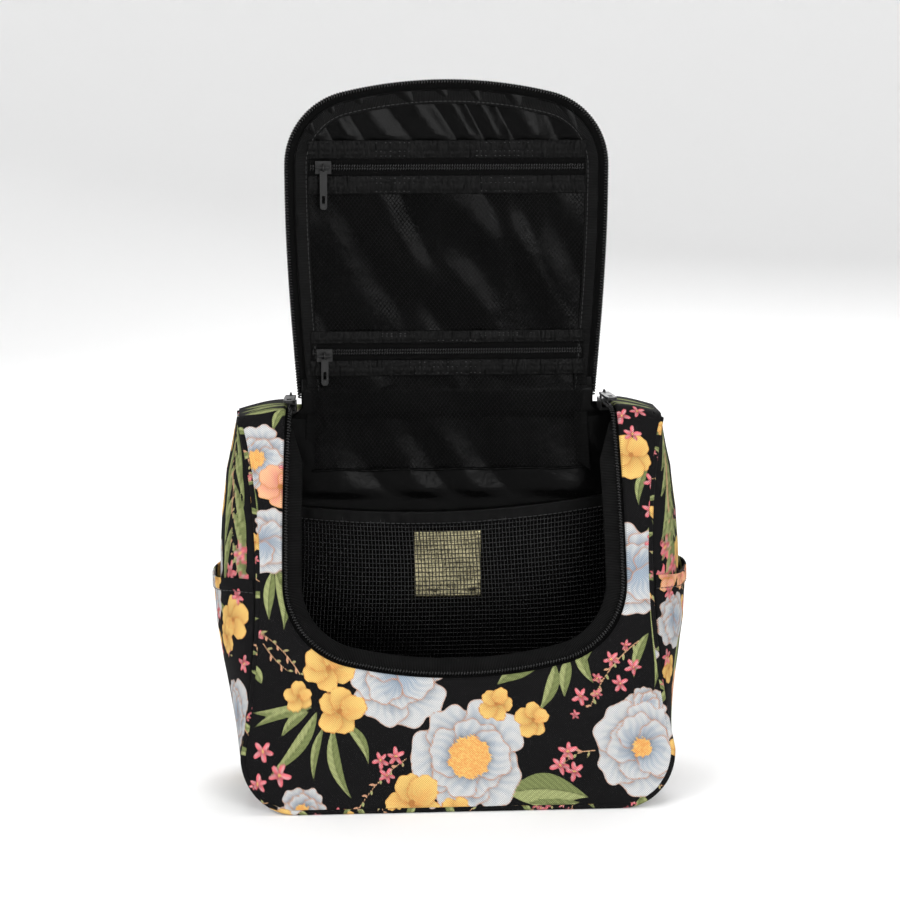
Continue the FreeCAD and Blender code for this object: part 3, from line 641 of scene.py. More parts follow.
def noise(nodes, links, scale, detail=3.0, roughness=0.5):
    """Noise over the piece's own space, scale per metre."""
    place = node(nodes, "ShaderNodeTexCoord")
    made = node(nodes, "ShaderNodeTexNoise", Scale=scale, Detail=detail, Roughness=roughness)
    links.new(place.outputs["Object"], made.inputs["Vector"])
    return made.outputs["Fac"]


def set_bump(nodes, links, principled, height, distance, strength=1.0):
    """Bump, with its depth in millimetres."""
    bump = node(nodes, "ShaderNodeBump", Strength=strength, Distance=distance * MM)
    links.new(height, bump.inputs["Height"])
    links.new(bump.outputs[0], principled.inputs["Normal"])


def grey(value):
    """A neutral colour."""
    return (value, value, value)


def tinted(nodes, links, principled, dark, light, factor):
    """Base colour between two colours by a factor."""
    ramp = node(nodes, "ShaderNodeMix", data_type="RGBA")
    ramp.inputs[MIX_A].default_value = (*dark, 1)
    ramp.inputs[MIX_B].default_value = (*light, 1)
    links.new(factor, ramp.inputs[0])
    links.new(ramp.outputs[MIX_RESULT], principled.inputs["Base Color"])


def canvas_material():
    """Printed canvas: woven threads in bump, with painted shade in the weave's hollows and painted
    highlight on its crowns, over ground and ink alike.
    """
    material, nodes, links, principled = shader("printed_canvas", 0.85, Specular_IOR_Level=0.07)
    warp, weft = cut_waves(nodes, links, [(0.78, math.pi / 4), (0.78, -math.pi / 4)])
    weave = math_node(nodes, links, "MULTIPLY", warp.outputs["Fac"], weft.outputs["Fac"])
    field = node(nodes, "ShaderNodeAttribute", attribute_name="ink")
    wander = math_node(nodes, links, "MULTIPLY_ADD", noise(nodes, links, 900, 2.0), 0.25)
    wander.node.inputs[2].default_value = -0.125
    reach = math_node(nodes, links, "ADD", field.outputs["Fac"], wander)
    share = node(nodes, "ShaderNodeMapRange", interpolation_type="SMOOTHSTEP", From_Min=-0.10,
                 From_Max=0.16)
    links.new(reach, share.inputs["Value"])
    colour = node(nodes, "ShaderNodeAttribute", attribute_name="ink_colour")
    mix = node(nodes, "ShaderNodeMix", data_type="RGBA")
    mix.inputs[MIX_A].default_value = (*GROUND, 1)
    links.new(share.outputs[0], mix.inputs[0])
    links.new(colour.outputs["Color"], mix.inputs[MIX_B])
    # painted shade and highlight: the weave scales the colour from 0.62 in its hollows to 1.22 on its
    # crowns, times a faint random patchiness
    shade = spread_to(nodes, links, weave, 0.62, 1.22)
    patch = spread_to(nodes, links, noise(nodes, links, 60, 4.0), 0.90, 1.08)
    both = math_node(nodes, links, "MULTIPLY", shade, patch)
    woven = node(nodes, "ShaderNodeVectorMath", operation="SCALE")
    links.new(mix.outputs[MIX_RESULT], woven.inputs[0])
    links.new(both, woven.inputs["Scale"])
    links.new(woven.outputs[0], principled.inputs["Base Color"])
    set_bump(nodes, links, principled, weave, 0.10)
    return material


def woven_material(name, dark, light, pitches, depth, roughness=0.7, specular=0.04):
    """Plain woven cloth: tape, ribbed binding or webbing, with painted shade in the weave's hollows."""
    material, nodes, links, principled = shader(name, roughness, Specular_IOR_Level=specular)
    waves = cut_waves(nodes, links, pitches)
    weave = waves[0].outputs["Fac"]
    for wave in waves[1:]:
        weave = math_node(nodes, links, "MULTIPLY", weave, wave.outputs["Fac"])
    # painted shade: colour darker in the weave's hollows and lighter on its crowns, varied at random by
    # the noise
    spread = math_node(nodes, links, "MULTIPLY", weave, noise(nodes, links, 120, 4.0))
    tinted(nodes, links, principled, dark, light, spread)
    set_bump(nodes, links, principled, weave, depth)
    return material


def satin_material():
    """Thin shiny lining with fine creases, with painted shade in their hollows."""
    material, nodes, links, principled = shader("satin_lining", 0.25, Specular_IOR_Level=0.042)
    crease_and_shade = noise(nodes, links, 55, 5.0, 0.55)
    grain = noise(nodes, links, 2600, 1.0)
    height = math_node(nodes, links, "MULTIPLY_ADD", grain, 0.03)
    links.new(crease_and_shade, height.node.inputs[2])
    # painted shade: the colour is darker where the creases are low and lighter on their crowns
    tinted(nodes, links, principled, grey(0.0008), grey(0.0020), crease_and_shade)
    set_bump(nodes, links, principled, height, 1.2, 0.7)
    return material


def smooth_material(name, colour, roughness, metallic=0.0, mottle=0.25, depth=0.03, scale=400,
                    specular=0.35):
    """Moulded, enamelled or foil surfaces, their colour uneven by a mottle; the foil's strong mottle is
    partly uneven foil and partly painted reflection.
    """
    material, nodes, links, principled = shader(name, roughness, Metallic=metallic,
                                                Specular_IOR_Level=specular)
    spots = noise(nodes, links, scale, 4.0)
    light = tuple(min(1.0, part * (1 + mottle)) for part in colour)
    dark = tuple(part * (1 - mottle) for part in colour)
    tinted(nodes, links, principled, dark, light, spots)
    rough = spread_to(nodes, links, spots, roughness * 0.8, min(1.0, roughness * 1.25))
    links.new(rough, principled.inputs["Roughness"])
    set_bump(nodes, links, principled, spots, depth)
    return material


CANVAS = canvas_material()
SATIN = satin_material()
TAPE = woven_material("zip_tape", grey(0.001), grey(0.004), [(0.9, 0.6), (0.9, -0.6)], 0.08)
RIBBED = woven_material("grosgrain", grey(0.002), grey(0.012), [(0.8, 0.0)], 0.14)
FACING = woven_material("facing_cloth", grey(0.0015), grey(0.007), [(0.6, 0.0), (0.6, math.pi / 2)],
                        0.06, 0.34, 0.055)
WEBBING = woven_material("webbing", grey(0.004), (0.016, 0.016, 0.017), [(1.4, 0.5), (1.4, -0.5)], 0.25)
THREAD = smooth_material("thread", grey(0.020), 0.4, scale=2000)
NYLON = smooth_material("zip_coil", grey(0.0035), 0.17, scale=1500, specular=0.30)
STRANDS = smooth_material("net", grey(0.0012), 0.28, scale=1500, specular=0.07)
MESH = smooth_material("mesh", grey(0.0018), 0.26, scale=1500, specular=0.24)
# mottle 0.95: partly uneven foil, partly painted reflection, in patches from near black to bright gold
FOIL = smooth_material("label_foil", (0.31, 0.28, 0.17), 0.18, metallic=0.9, mottle=0.95, depth=1.2,
                       scale=80)
ENAMEL = smooth_material("slider_metal", grey(0.006), 0.42, scale=600, specular=0.25)
PLASTIC = smooth_material("hook_plastic", grey(0.010), 0.45, scale=500)


# ---------------------------------------------------------------- stitching and coils

def stitches(name, line, body, outward, pitch=3.0, radius=0.22):
    """A row of short raised threads along a line; outward is the way they stand off."""
    ends = spaced(line, pitch)
    parts = []
    outward = np.asarray(outward, float)
    for start, end in zip(ends[:-1], ends[1:]):
        gap = (end - start) * 0.12
        share = np.linspace(0, 1, 5)[:, None]
        arch = start + gap + (end - start - 2 * gap) * share
        arch = arch + outward * (np.sin(share * math.pi) * radius * 1.1)
        parts.append(tube(arch, radius * (0.6 + 0.4 * np.sin(share[:, 0] * math.pi)), 5))
    points, faces = merge(parts)
    return new_piece(name, points, faces, THREAD, body)


def coil_teeth(line, up, half_width, half_height, pitch, wire):
    """A nylon coil: a wire wound round a line, flattened to the zip's width and height."""
    both = np.concatenate([line, np.broadcast_to(up, line.shape)], 1)
    length = running_length(line)
    at = np.linspace(0, length[-1], int(length[-1] / pitch * 10))
    both = np.stack([np.interp(at, length, both[:, axis]) for axis in range(6)], -1)
    run, up = both[:, :3], both[:, 3:]
    tangent = unit(np.gradient(run, axis=0))
    turn = np.arange(len(run)) * TAU / 10
    across = np.cross(tangent, up)
    wound = (run + across * (np.cos(turn) * half_width)[:, None]
             + up * (np.sin(turn) * half_height)[:, None])
    return tube(wound, wire, 5)


# ---------------------------------------------------------------- body

def outward_of(k):
    """Unit normals of the body's outline in x and z, away from the bag."""
    near = np.stack(seam_curve(np.clip(k - 0.002, 0, 1)), -1)
    far = np.stack(seam_curve(np.clip(k + 0.002, 0, 1)), -1)
    step = far - near
    normal = np.stack([step[:, 1], -step[:, 0]], -1)
    return normal / np.linalg.norm(normal, axis=1, keepdims=True)


# heights, and how far the side puffs out
BULGE_AT = (0, 27, 45, 66, 85, 105, 122, 140, 165, 185, 192)
BULGE = (0, 1.5, 6.0, 11.0, 14.5, 15.8, 15.5, 14.0, 10.0, 4.0, 1.5)


def gusset_point(k, share, off=0.0):
    """On the side strip: share 0 at the front seam, 1 at the back seam; off outwards."""
    x, z = seam_curve(k)
    x_back, _ = seam_curve(k, BACK_MID)
    normal = outward_of(k)
    front = path_point(x, path_distance(z), 0)
    y = front[:, 1][:, None] * (1 - share) + HALF_DEPTH * share
    side = np.abs(normal[:, 0])[:, None]
    bulge = side * np.interp(z, BULGE_AT, BULGE)[:, None] * (4 * share * (1 - share)) ** 0.8
    out = bulge + np.asarray(off)
    grid_x = x[:, None] * (1 - share) + x_back[:, None] * share + normal[:, 0][:, None] * out
    grid_z = np.maximum(z[:, None] + normal[:, 1][:, None] * out, 0.15)
    return ears(grid_of(grid_x, y, grid_z))


def front_curves(count):
    """Mouth edge and outer seam of the front cloth, as x and distance along the path."""
    k = np.linspace(0, 1, count)
    mouth = lid_line(k, -(ZIP_GAP + CLOTH_EDGE))
    share = SHOULDER / 332 / 2
    near = np.minimum(k, 1 - k)
    on_top = near < share
    inner = np.clip((near - share) / (0.5 - share), 0, 1) * 0.5
    x, z = seam_curve(np.where(k < 0.5, inner, 1 - inner))
    t = np.where(on_top, near / share * SHOULDER, path_distance(z))
    return k, mouth, np.stack([x, t], -1)


def belly(x, t):
    """How far the front cloth bulges out, in millimetres."""
    low = np.exp(-((t - 176) / 34.0) ** 2 - (x / 82.0) ** 2) * 1.5
    sides = np.exp(-((np.abs(x) - 92) / 9.0) ** 2 - ((t - 110) / 70.0) ** 2) * 1.2
    return low + sides + 0.35 * ripple(x, t, 5, 0.045)


def make_front():
    """Front cloth from the mouth to the seam, over the shoulders, printed."""
    rows, columns = 800, 112
    k, mouth, seam = front_curves(rows)
    flat = between(mouth, seam, columns)
    x, t = flat[..., 0], flat[..., 1]
    share = np.linspace(0, 1, columns)[None, :]
    fade = np.sin(math.pi * np.clip(share * 1.02, 0, 1)) ** 0.6
    points = path_point(x, t, -belly(x, t) * fade)
    rolled = np.clip(1 - share * 40, 0, 1) * 0.6          # turned edge along the zip
    points = points + (path_point(x, t, rolled) - path_point(x, t))
    front = new_piece("front_cloth", points, quads(rows, columns), CANVAS, "body",
                      ("front_panel", "front_foam"), flat)
    ink(front, flat, FRONT_PRINT)
    thicken(front, CANVAS_THICK, 1.0)
    inner = lid_line(k, -(ZIP_GAP + CLOTH_EDGE + 1.6))
    lining_flat = between(inner, seam * np.array([0.985, 0.99]), 20)
    x, t = lining_flat[..., 0], lining_flat[..., 1]
    deep = 3.3 + 0.8 * ripple(x, t, 9, 0.08)
    lining = new_piece("front_lining_cloth", path_point(x, t, deep), quads(rows, 20), SATIN, "body",
                       ("front_lining",), lining_flat)
    thicken(lining, SATIN_THICK, 1.0)


def side_print():
    """Leaves and small flowers of one side: distance down the strip, distance from the front seam."""
    motifs = []
    for number in range(9):
        start, reach = 1 + 7.5 * number, 30 + 4 * math.sin(number * 2)
        side = 1 if number % 2 else -1
        motifs.append(("leaf", start, 20, start + reach, 20 + side * 13, 3.6, side * 3))
    motifs.append(("stem", 0, 20, 70, 20, 0.5, 1))
    motifs += [("pink", 66, 12, 6.0, 0.3), ("pink", 76, 22, 6.4, 0.9), ("pink", 80, 9, 6.0, 1.4),
               ("pink", 92, 16, 4.6, 0.5), ("yellow", 40, 52, 12, 0.4), ("white", 74, 56, 17, 0.2),
               ("yellow", 110, 20, 11, 0.9), ("closed", 150, 22, 17, 0.4), ("pink", 132, 12, 5.0, 0.2),
               ("leaf", 120, 30, 150, 44, 4, 3)]
    return motifs


def make_gusset():
    """One long strip: left side, base, right side. Its lining lies inside it."""
    count, across = 420, 40
    k = np.linspace(0, 1, count)
    share = np.linspace(0, 1, across)[None, :]
    points = gusset_point(k, share)
    run = running_length(points[:, across // 2])
    flat = grid_of(run[:, None], share * STRIP)
    strip = new_piece("side_strip", points, quads(count, across), CANVAS, "body",
                      ("left_gusset", "right_gusset", "base_panel", "base_board"),
                      flat)
    left = side_print()
    right = [(item[0], run[-1] - item[1], item[2], *((run[-1] - item[3], *item[4:]) if item[0] in (
        "leaf", "stem") else item[3:])) for item in left]
    ink(strip, flat, scatter((0, 60), (run[-1], STRIP), 21)
        + scatter((200, 0), (run[-1] - 200, STRIP), 22) + left + right)
    thicken(strip, 1.0, -1.0)
    wave = ripple(run[:, None], share * STRIP, 4, 0.05)
    floor = np.abs(outward_of(k)[:, 0])[:, None]
    inner = gusset_point(k, share * 0.94 + 0.03, -3.2 - 1.2 * wave * floor)
    lining = new_piece("side_lining", inner, quads(count, across), SATIN, "body",
                       ("left_lining", "right_lining", "base_lining"), flat)
    thicken(lining, SATIN_THICK, 1.0)


def back_grid(rows, columns, top, inset):
    """Points over the back panel's outline: x and z."""
    share = np.linspace(0, 1, rows)
    z = SEAM_FLOOR + (top - SEAM_FLOOR) * share
    table_k = np.linspace(0, 0.5, 400)
    table_x, table_z = seam_curve(table_k, BACK_MID)
    half = np.interp(z, table_z[::-1], -table_x[::-1])
    half[0] = SEAM_LOW - SEAM_CORNER
    across = np.linspace(-1, 1, columns)
    return (half - inset)[:, None] * across[None, :], np.broadcast_to(z[:, None], (rows, columns))


def make_back():
    """Back cloth outside, wrinkled satin inside."""
    x, z = back_grid(230, 240, HEIGHT - 1.4, 0.3)
    bulge = 2.2 * np.exp(-((z - 90) / 60.0) ** 2 - (x / 75.0) ** 2) + 0.4 * ripple(x, z, 12, 0.04)
    rim = np.clip((SEAM_TOP - np.abs(x)) / 10, 0, 1) * np.clip((HEIGHT - z) / 10, 0, 1)
    flat = np.stack([x, z], -1)
    points = ears(np.stack([x, HALF_DEPTH + bulge * rim - 0.2, z], -1))
    back = new_piece("back_cloth", points, quads(230, 240), CANVAS, "body",
                     ("back_panel", "back_foam"), flat)
    ink(back, flat, scatter((-105, 0), (105, HEIGHT), 33))
    thicken(back, CANVAS_THICK, 1.0)
    x, z = back_grid(150, 170, HEIGHT - 5, 3)
    slant = x + 0.5 * (z - 150) + 4 * ripple(x, z, 7, 0.05)
    window = np.clip((z - 141) / 5, 0, 1) * np.clip((187 - z) / 38, 0, 1)
    fold = np.abs(np.sin(slant * 0.075 + 0.8 * np.sin(slant * 0.045) + 0.02 * (z - 150))) ** 1.3
    deep = WALL_Y - 0.3 - (0.2 + 2.5 * window) * fold - 0.15 * ripple(x, z, 17, 0.2) * window
    lining = new_piece("back_lining_cloth", np.stack([x, deep, z], -1), quads(150, 170), SATIN, "body",
                       ("back_lining",), np.stack([x, z], -1))
    thicken(lining, SATIN_THICK, 1.0)


def make_piping():
    """Cord covered with the same canvas, along both seams."""
    count, sides, step = 900, 12, 0.75
    k = np.linspace(0.0, 1, count)
    x, z = seam_curve(k)
    normal = outward_of(k)
    x_back, z_back = seam_curve(k, BACK_MID)
    runs = {"front": path_point(x, path_distance(z), -0.6),
            "back": ears(np.stack([x_back, np.full(count, HALF_DEPTH + 0.4), z_back], -1))}
    for number, (name, line) in enumerate(runs.items()):
        line = line + np.stack([normal[:, 0], np.zeros(count), normal[:, 1]], -1) * 0.2
        line[:, 2] = np.maximum(line[:, 2], PIPING_RADIUS + 0.1)
        wobble = 1 + 0.05 * ripple(np.arange(count) * 0.2, 0.0, number, 1.0)
        points, faces = tube(line, PIPING_RADIUS * wobble, sides)
        run = np.arange(count) * step
        flat = grid_of(run[:, None], np.arange(sides)[None, :] * 0.7)
        cord = new_piece(name + "_piping_cord", points, faces, CANVAS, "body",
                         (name + "_piping",), flat)
        ink(cord, flat, scatter((0, -20), (680, 30), 50 + number, 13))


def make_side_pockets():
    """Slip pockets that stand off the side strip, with a deep stitched hem."""
    top = edge_of("right_pocket", HIGH, 2)
    count, across = 110, 90
    table_k = np.linspace(0, 0.5, 600)
    table_z = seam_curve(table_k)[1]
    for side, name in ((0, "left"), (1, "right")):
        z = np.linspace(9, top, count)
        k = np.interp(z, table_z[::-1], table_k[::-1])
        share = np.linspace(0.012, 0.988, across)[None, :]
        rise = ((z - 9) / (top - 9))[:, None]
        stand = (0.9 + 2.6 * rise ** 1.3) * (4 * share * (1 - share)) ** 0.4
        hem = np.clip((rise - 0.935) * 200, 0, 1) * 0.7
        wave = 0.4 * ripple(share * 8, rise * 3, 70 + side, 1.0)
        points = gusset_point(k, share, stand + hem + wave * rise)
        points[..., 2] += rise * (1.6 * np.cos(share * 7 + side) - 1.2)
        if side:
            points[..., 0] *= -1
        flat = grid_of(share * 85, z[:, None])
        if side:
            motifs = [("leaf", 20, 44, 30, 84, 4.5, 3), ("closed", 15, 88, 15, 0.5),
                      ("peach", 22, 52, 9, 0.3), ("leaf", 6, 20, 14, 50, 3.6, -2),
                      ("yellow", 8, 64, 7, 0.8), ("closed", 26, 16, 14, 0.9)]
            motifs += [("peach", 8 + 14 * step, 109, 7.5, 0.2 + step) for step in range(3)]
        else:
            motifs = [("yellow", 14, 90, 12, 0.3), ("yellow", 23, 80, 8, 1.0),
                      ("closed", 17, 44, 18, 0.5), ("leaf", 30, 8, 40, 40, 4, 3),
                      ("leaf", 8, 12, 4, 30, 3.6, -2), ("yellow", 30, 110, 6, 0.4)]
        motifs += [("pink", 34, 92, 4.6, 0.2), ("pink", 38, 72, 4.2, 0.8), ("pink", 6, 70, 4.2, 0.4),
                   ("pink", 10, 102, 4, 1.0)]
        motifs = scatter((44, 0), (90, 120), 80 + side, 15) + motifs
        outward = 1 if side else -1
        order = quads(count, across)[:, ::outward]
        pocket = new_piece(name + "_side_pocket", points, order, CANVAS, "body",
                           (name + "_pocket",), flat)
        ink(pocket, flat, motifs)
        thicken(pocket, 0.9, -1.0)
        hem_row = int(count * 0.93)
        line = points[hem_row] + np.array([outward * 0.25, 0, 0])
        stitches(name + "_hem_stitches", line, "body", (outward, 0, 0), 2.6)


# ---------------------------------------------------------------- the main zip

def make_body_zip():
    """The body's half: tape under the canvas edge, coil along the mouth, bound seam behind."""
    k = np.linspace(0.001, 0.999, 620)
    outer = lid_line(k, -(ZIP_GAP + CLOTH_EDGE + 3))
    inner = lid_line(k, -(ZIP_GAP + 1.0))
    flat = between(outer, inner, 12)
    points = path_point(flat[..., 0], flat[..., 1], 1.0)
    run = running_length(flat[:, 6])
    cut = grid_of(run[:, None], np.linspace(0, 9, 12)[None, :])
    tape = new_piece("body_zip_tape", points, quads(620, 12), TAPE, "body",
                     ("body_tape_front", "body_tape_shoulder"), cut)
    thicken(tape, 0.5, 1.0)
    k = np.linspace(0.001, 0.999, 2400)
    x, t = lid_curve(k, -(ZIP_GAP + COIL / 2))
    line = path_point(x, t, 0.4)
    up = path_point(x, t, 0.0) - path_point(x, t, 1.0)
    points, faces = coil_teeth(line, up_along(line, up), 1.05, 0.75, 1.45, 0.36)
    new_piece("body_zip_coil", points, faces, NYLON, "body",
              ("body_coil_front", "body_coil_shoulder"))
    k = np.linspace(0.082, 0.918, 420)
    outer = lid_line(k, -4.0)
    widen = np.clip((0.418 - np.abs(k - 0.5)) / 0.05, 0, 1)
    inner = lid_line(k, -2.0) * (1 - widen)[:, None] + lid_line(k, 5.6) * widen[:, None]
    flat = between(outer, inner, 14)
    share = np.linspace(0, 1, 14)[None, :]
    deep = 3.2 + 3.2 * share ** 1.4 + 0.5 * ripple(flat[..., 0], flat[..., 1], 3, 0.06)
    points = path_point(flat[..., 0], flat[..., 1], deep)
    run = running_length(flat[:, 6])
    cut = grid_of(run[:, None], share * 10)
    guard = new_piece("bound_seam", points, quads(420, 14), RIBBED, "body", ("zip_guard",),
                      cut)
    thicken(guard, 1.0, 1.0)


def up_along(line, up):
    """Unit vectors from a set of directions, made square to a line."""
    tangent = unit(np.gradient(line, axis=0))
    up = up - tangent * (up * tangent).sum(1, keepdims=True)
    return unit(up)


# ---------------------------------------------------------------- inside the body

def net_piece(name, points, rows, columns, width, material, body, nodes, diamond=False):
    """Strands along the edges of a grid of cells; diamonds join the cells' middles instead."""
    grid = points.reshape(rows, columns, 3)
    if diamond:
        i, j = np.meshgrid(np.arange(rows), np.arange(columns), indexing="ij")
        keep = (i + j) % 2 == 0
        index = np.full((rows, columns), -1)
        index[keep] = np.arange(keep.sum())
        corner = (i[1:-1, 1:-1] + j[1:-1, 1:-1]) % 2 == 1
        ci, cj = i[1:-1, 1:-1][corner], j[1:-1, 1:-1][corner]
        faces = np.stack([index[ci - 1, cj], index[ci, cj + 1], index[ci + 1, cj], index[ci, cj - 1]],
                         -1)
        vertices = grid[keep]
    else:
        faces, vertices = quads(rows, columns), grid.reshape(-1, 3)
    net = new_piece(name, vertices, faces, material, body, nodes)
    across, along = np.ptp(grid[..., 0]), np.linalg.norm(grid[-1, columns // 2] - grid[0, columns // 2])
    cuts[name] = (across, along, across * along)
    strands = net.modifiers.new("strands", "WIREFRAME")
    strands.thickness = width * MM
    strands.use_even_offset = False
    strands.use_replace = True
    return net


def make_inner_pocket():
    """Coarse square mesh on the back wall, its elastic band and the plain foil patch behind."""
    half = edge_of("mesh_pocket", HIGH, 0)
    low, high = edge_of("mesh_pocket", LOW, 2), edge_of("mesh_pocket", HIGH, 2)
    deep = WALL_Y - edge_of("mesh_pocket", LOW, 1)
    columns, rows = int(2 * half / 1.8), int((high - low) / 2.2)
    u = np.linspace(-1, 1, columns)[None, :]
    v = np.linspace(0, 1, rows)[:, None]
    sag = (13.5 - 1.95 * u - 6.35 * u ** 2) * v
    slack = deep * (1 - u ** 4) * np.sin(math.pi * (0.12 + 0.75 * v)) * 0.9
    stand = 1.0 + slack + 0.7 * ripple(u * 6, v * 3, 6, 1.0)
    points = grid_of(u * half + 1.2 * np.sin(v * 4 + u * 2), WALL_Y - stand,
                                          low + (high - low) * v - sag + 4 - 15 * (1 - v))
    net_piece("square_mesh", points, rows, columns, 0.62, MESH, "body", ("mesh_pocket",))
    top = points[-1]
    u = np.linspace(-1, 1, columns)
    across = np.linspace(-3.5, 3.5, 9)[None, :, None]
    band = top[:, None, :] + np.array([0, 0, 1.0]) * across + np.array([0, -0.4, 0])
    gather = 0.45 * ripple(u * half, 0.0, 90, 0.5) + 0.3 * ripple(u * half, 0.0, 91, 1.3)
    band[..., 1] -= gather[:, None] * np.cos(across[..., 0] / 3.5)
    cut = grid_of(u[:, None] * half, across[0, :, 0][None, :])
    obj = new_piece("mesh_top_band", band, quads(columns, 9), FACING, "body", ("mesh_band",),
                    cut)
    thicken(obj, 1.2, 0.0)
    stitches("band_stitches", band[:, 1] + np.array([0, -0.7, 0]), "body", (0, -1, 0), 2.6, 0.24)
    low_c, high_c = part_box("label_patch")
    side = (high_c.x - low_c.x) / MM
    u = np.linspace(-0.5, 0.5, 36)
    x, z = np.meshgrid(u * side, u * side)
    corner = np.minimum(side / 2 - np.abs(x), side / 2 - np.abs(z))
    press = 0.25 * np.exp(-((corner - 2.5) / 0.7) ** 2)
    centre = (low_c.z + high_c.z) / 2 / MM
    y = WALL_Y - 2.2 + press + 0.6 * ripple(x, z, 2, 0.13)
    patch = new_piece("foil_patch", np.stack([x, y, z + centre], -1), quads(36, 36)[:, ::-1], FOIL,
                      "body",
                      ("label_patch",), np.stack([x, z], -1))
    thicken(patch, 0.5, -1.0)


# ---------------------------------------------------------------- the lid


def on_lid(obj):
    """Leaves a piece with no parent, its place baked into its mesh."""
    obj.parent = None
    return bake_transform(obj)


def lid_ring(name, inset_a, inset_b, depth_a, depth_b, columns, material, nodes, thickness,
             k_low=0.009):
    """A band round the lid between two insets."""
    k = np.linspace(k_low, 1 - k_low, 560)
    a, b = lid_line(k, inset_a), lid_line(k, inset_b)
    flat = between(a, b, columns)
    share = np.linspace(0, 1, columns)[None, :]
    depth = depth_a * (1 - share) + depth_b * share
    points = lid_point(flat[..., 0], flat[..., 1], depth)
    run = running_length(flat[:, columns // 2])
    cut = grid_of(run[:, None], share * abs(inset_b - inset_a))
    ring = new_piece(name, points, quads(560, columns), material, None, nodes, cut)
    thicken(ring, thickness, 0.0)
    return on_lid(ring)


def lid_sheet(rows, columns, inset, low=0.0, high=None):
    """Points over the lid's outline: x and s."""
    high = LID_LENGTH - inset if high is None else high
    table_k = np.linspace(0, 0.5, 900)
    table_x, table_s = lid_curve(table_k, inset)
    s = low + (high - low) * (1 - (1 - np.linspace(0, 1, rows)) ** 1.25)
    half = np.interp(s, table_s, -table_x)
    return half[:, None] * np.linspace(-1, 1, columns)[None, :], np.broadcast_to(s[:, None],
                                                                                 (rows, columns))


def make_lid():
    """Printed canvas outside, satin inside, tape, coil and ribbed binding round the edge."""
    x, s = lid_sheet(200, 190, CLOTH_EDGE, 0.0)
    bow = 1.6 * np.exp(-((s - 90) / 50.0) ** 2 - (x / 50.0) ** 2) + 0.25 * ripple(x, s, 8, 0.05)
    flat = np.stack([x, s], -1)
    rim = np.clip(s / 12, 0, 1)
    outer = new_piece("lid_cloth", lid_point(x, s, -bow * rim), quads(200, 190), CANVAS, None,
                      ("lid_canvas_lower", "lid_canvas_upper", "lid_foam_lower", "lid_foam_upper"),
                      flat)
    ink(outer, flat, scatter((-85, 0), (85, 170), 61))
    thicken(outer, CANVAS_THICK, 1.0)
    on_lid(outer)
    x, s = lid_sheet(230, 170, CLOTH_EDGE + 1, 4.5)
    slant = x - 0.55 * (LID_LENGTH - s) + 3 * ripple(x, s, 16, 0.05)
    fold = np.abs(np.sin(slant * 0.17 + 0.5 * np.sin(slant * 0.09))) ** 1.5
    broad = 0.5 + 0.5 * np.sin(0.13 * (x + s) + 0.9 * np.sin(0.05 * (x - s)))
    deep = 3.0 + 1.7 * fold * np.clip((s - 128) / 8, 0.2, 1) + 0.2 * ripple(x, s, 15, 0.2)
    deep = deep + 1.2 * broad * np.clip((130 - s) / 8, 0, 1)
    lining = new_piece("lid_lining_cloth", lid_point(x, s, deep), quads(230, 170), SATIN, None,
                       ("lid_lining_lower", "lid_lining_upper"), np.stack([x, s], -1))
    thicken(lining, SATIN_THICK, 1.0)
    on_lid(lining)
    lid_ring("lid_zip_tape", 0.35, 9.0, 1.5, 1.4, 10, TAPE, ("lid_tape_lower", "lid_tape_upper"),
             0.5)
    lid_ring("lid_seam_cloth", 5.0, 8.0, 2.2, 3.4, 6, FACING, (), 0.8)
    lid_ring("lid_edge_binding", 5.6, 12.2, 4.3, 4.8, 10, RIBBED,
             ("lid_binding_lower", "lid_binding_upper"), 0.9, 0.012)
    k = np.linspace(0.004, 0.996, 2400)
    x, s = lid_curve(k, COIL / 2)
    line = lid_point(x, s, 1.2)
    points, faces = coil_teeth(line, np.array([0, -1.0, 0]), 1.0, 0.75, 1.45, 0.42)
    coil = new_piece("lid_zip_coil", points, faces, NYLON, None, ("lid_coil_lower", "lid_coil_upper"))
    on_lid(coil)
    x, s = lid_curve(np.linspace(0.012, 0.988, 500), 11.0)
    row = stitches("binding_stitches", lid_point(x, s, 5.35), None, (0, -1, 0), 2.4, 0.2)
    on_lid(row)


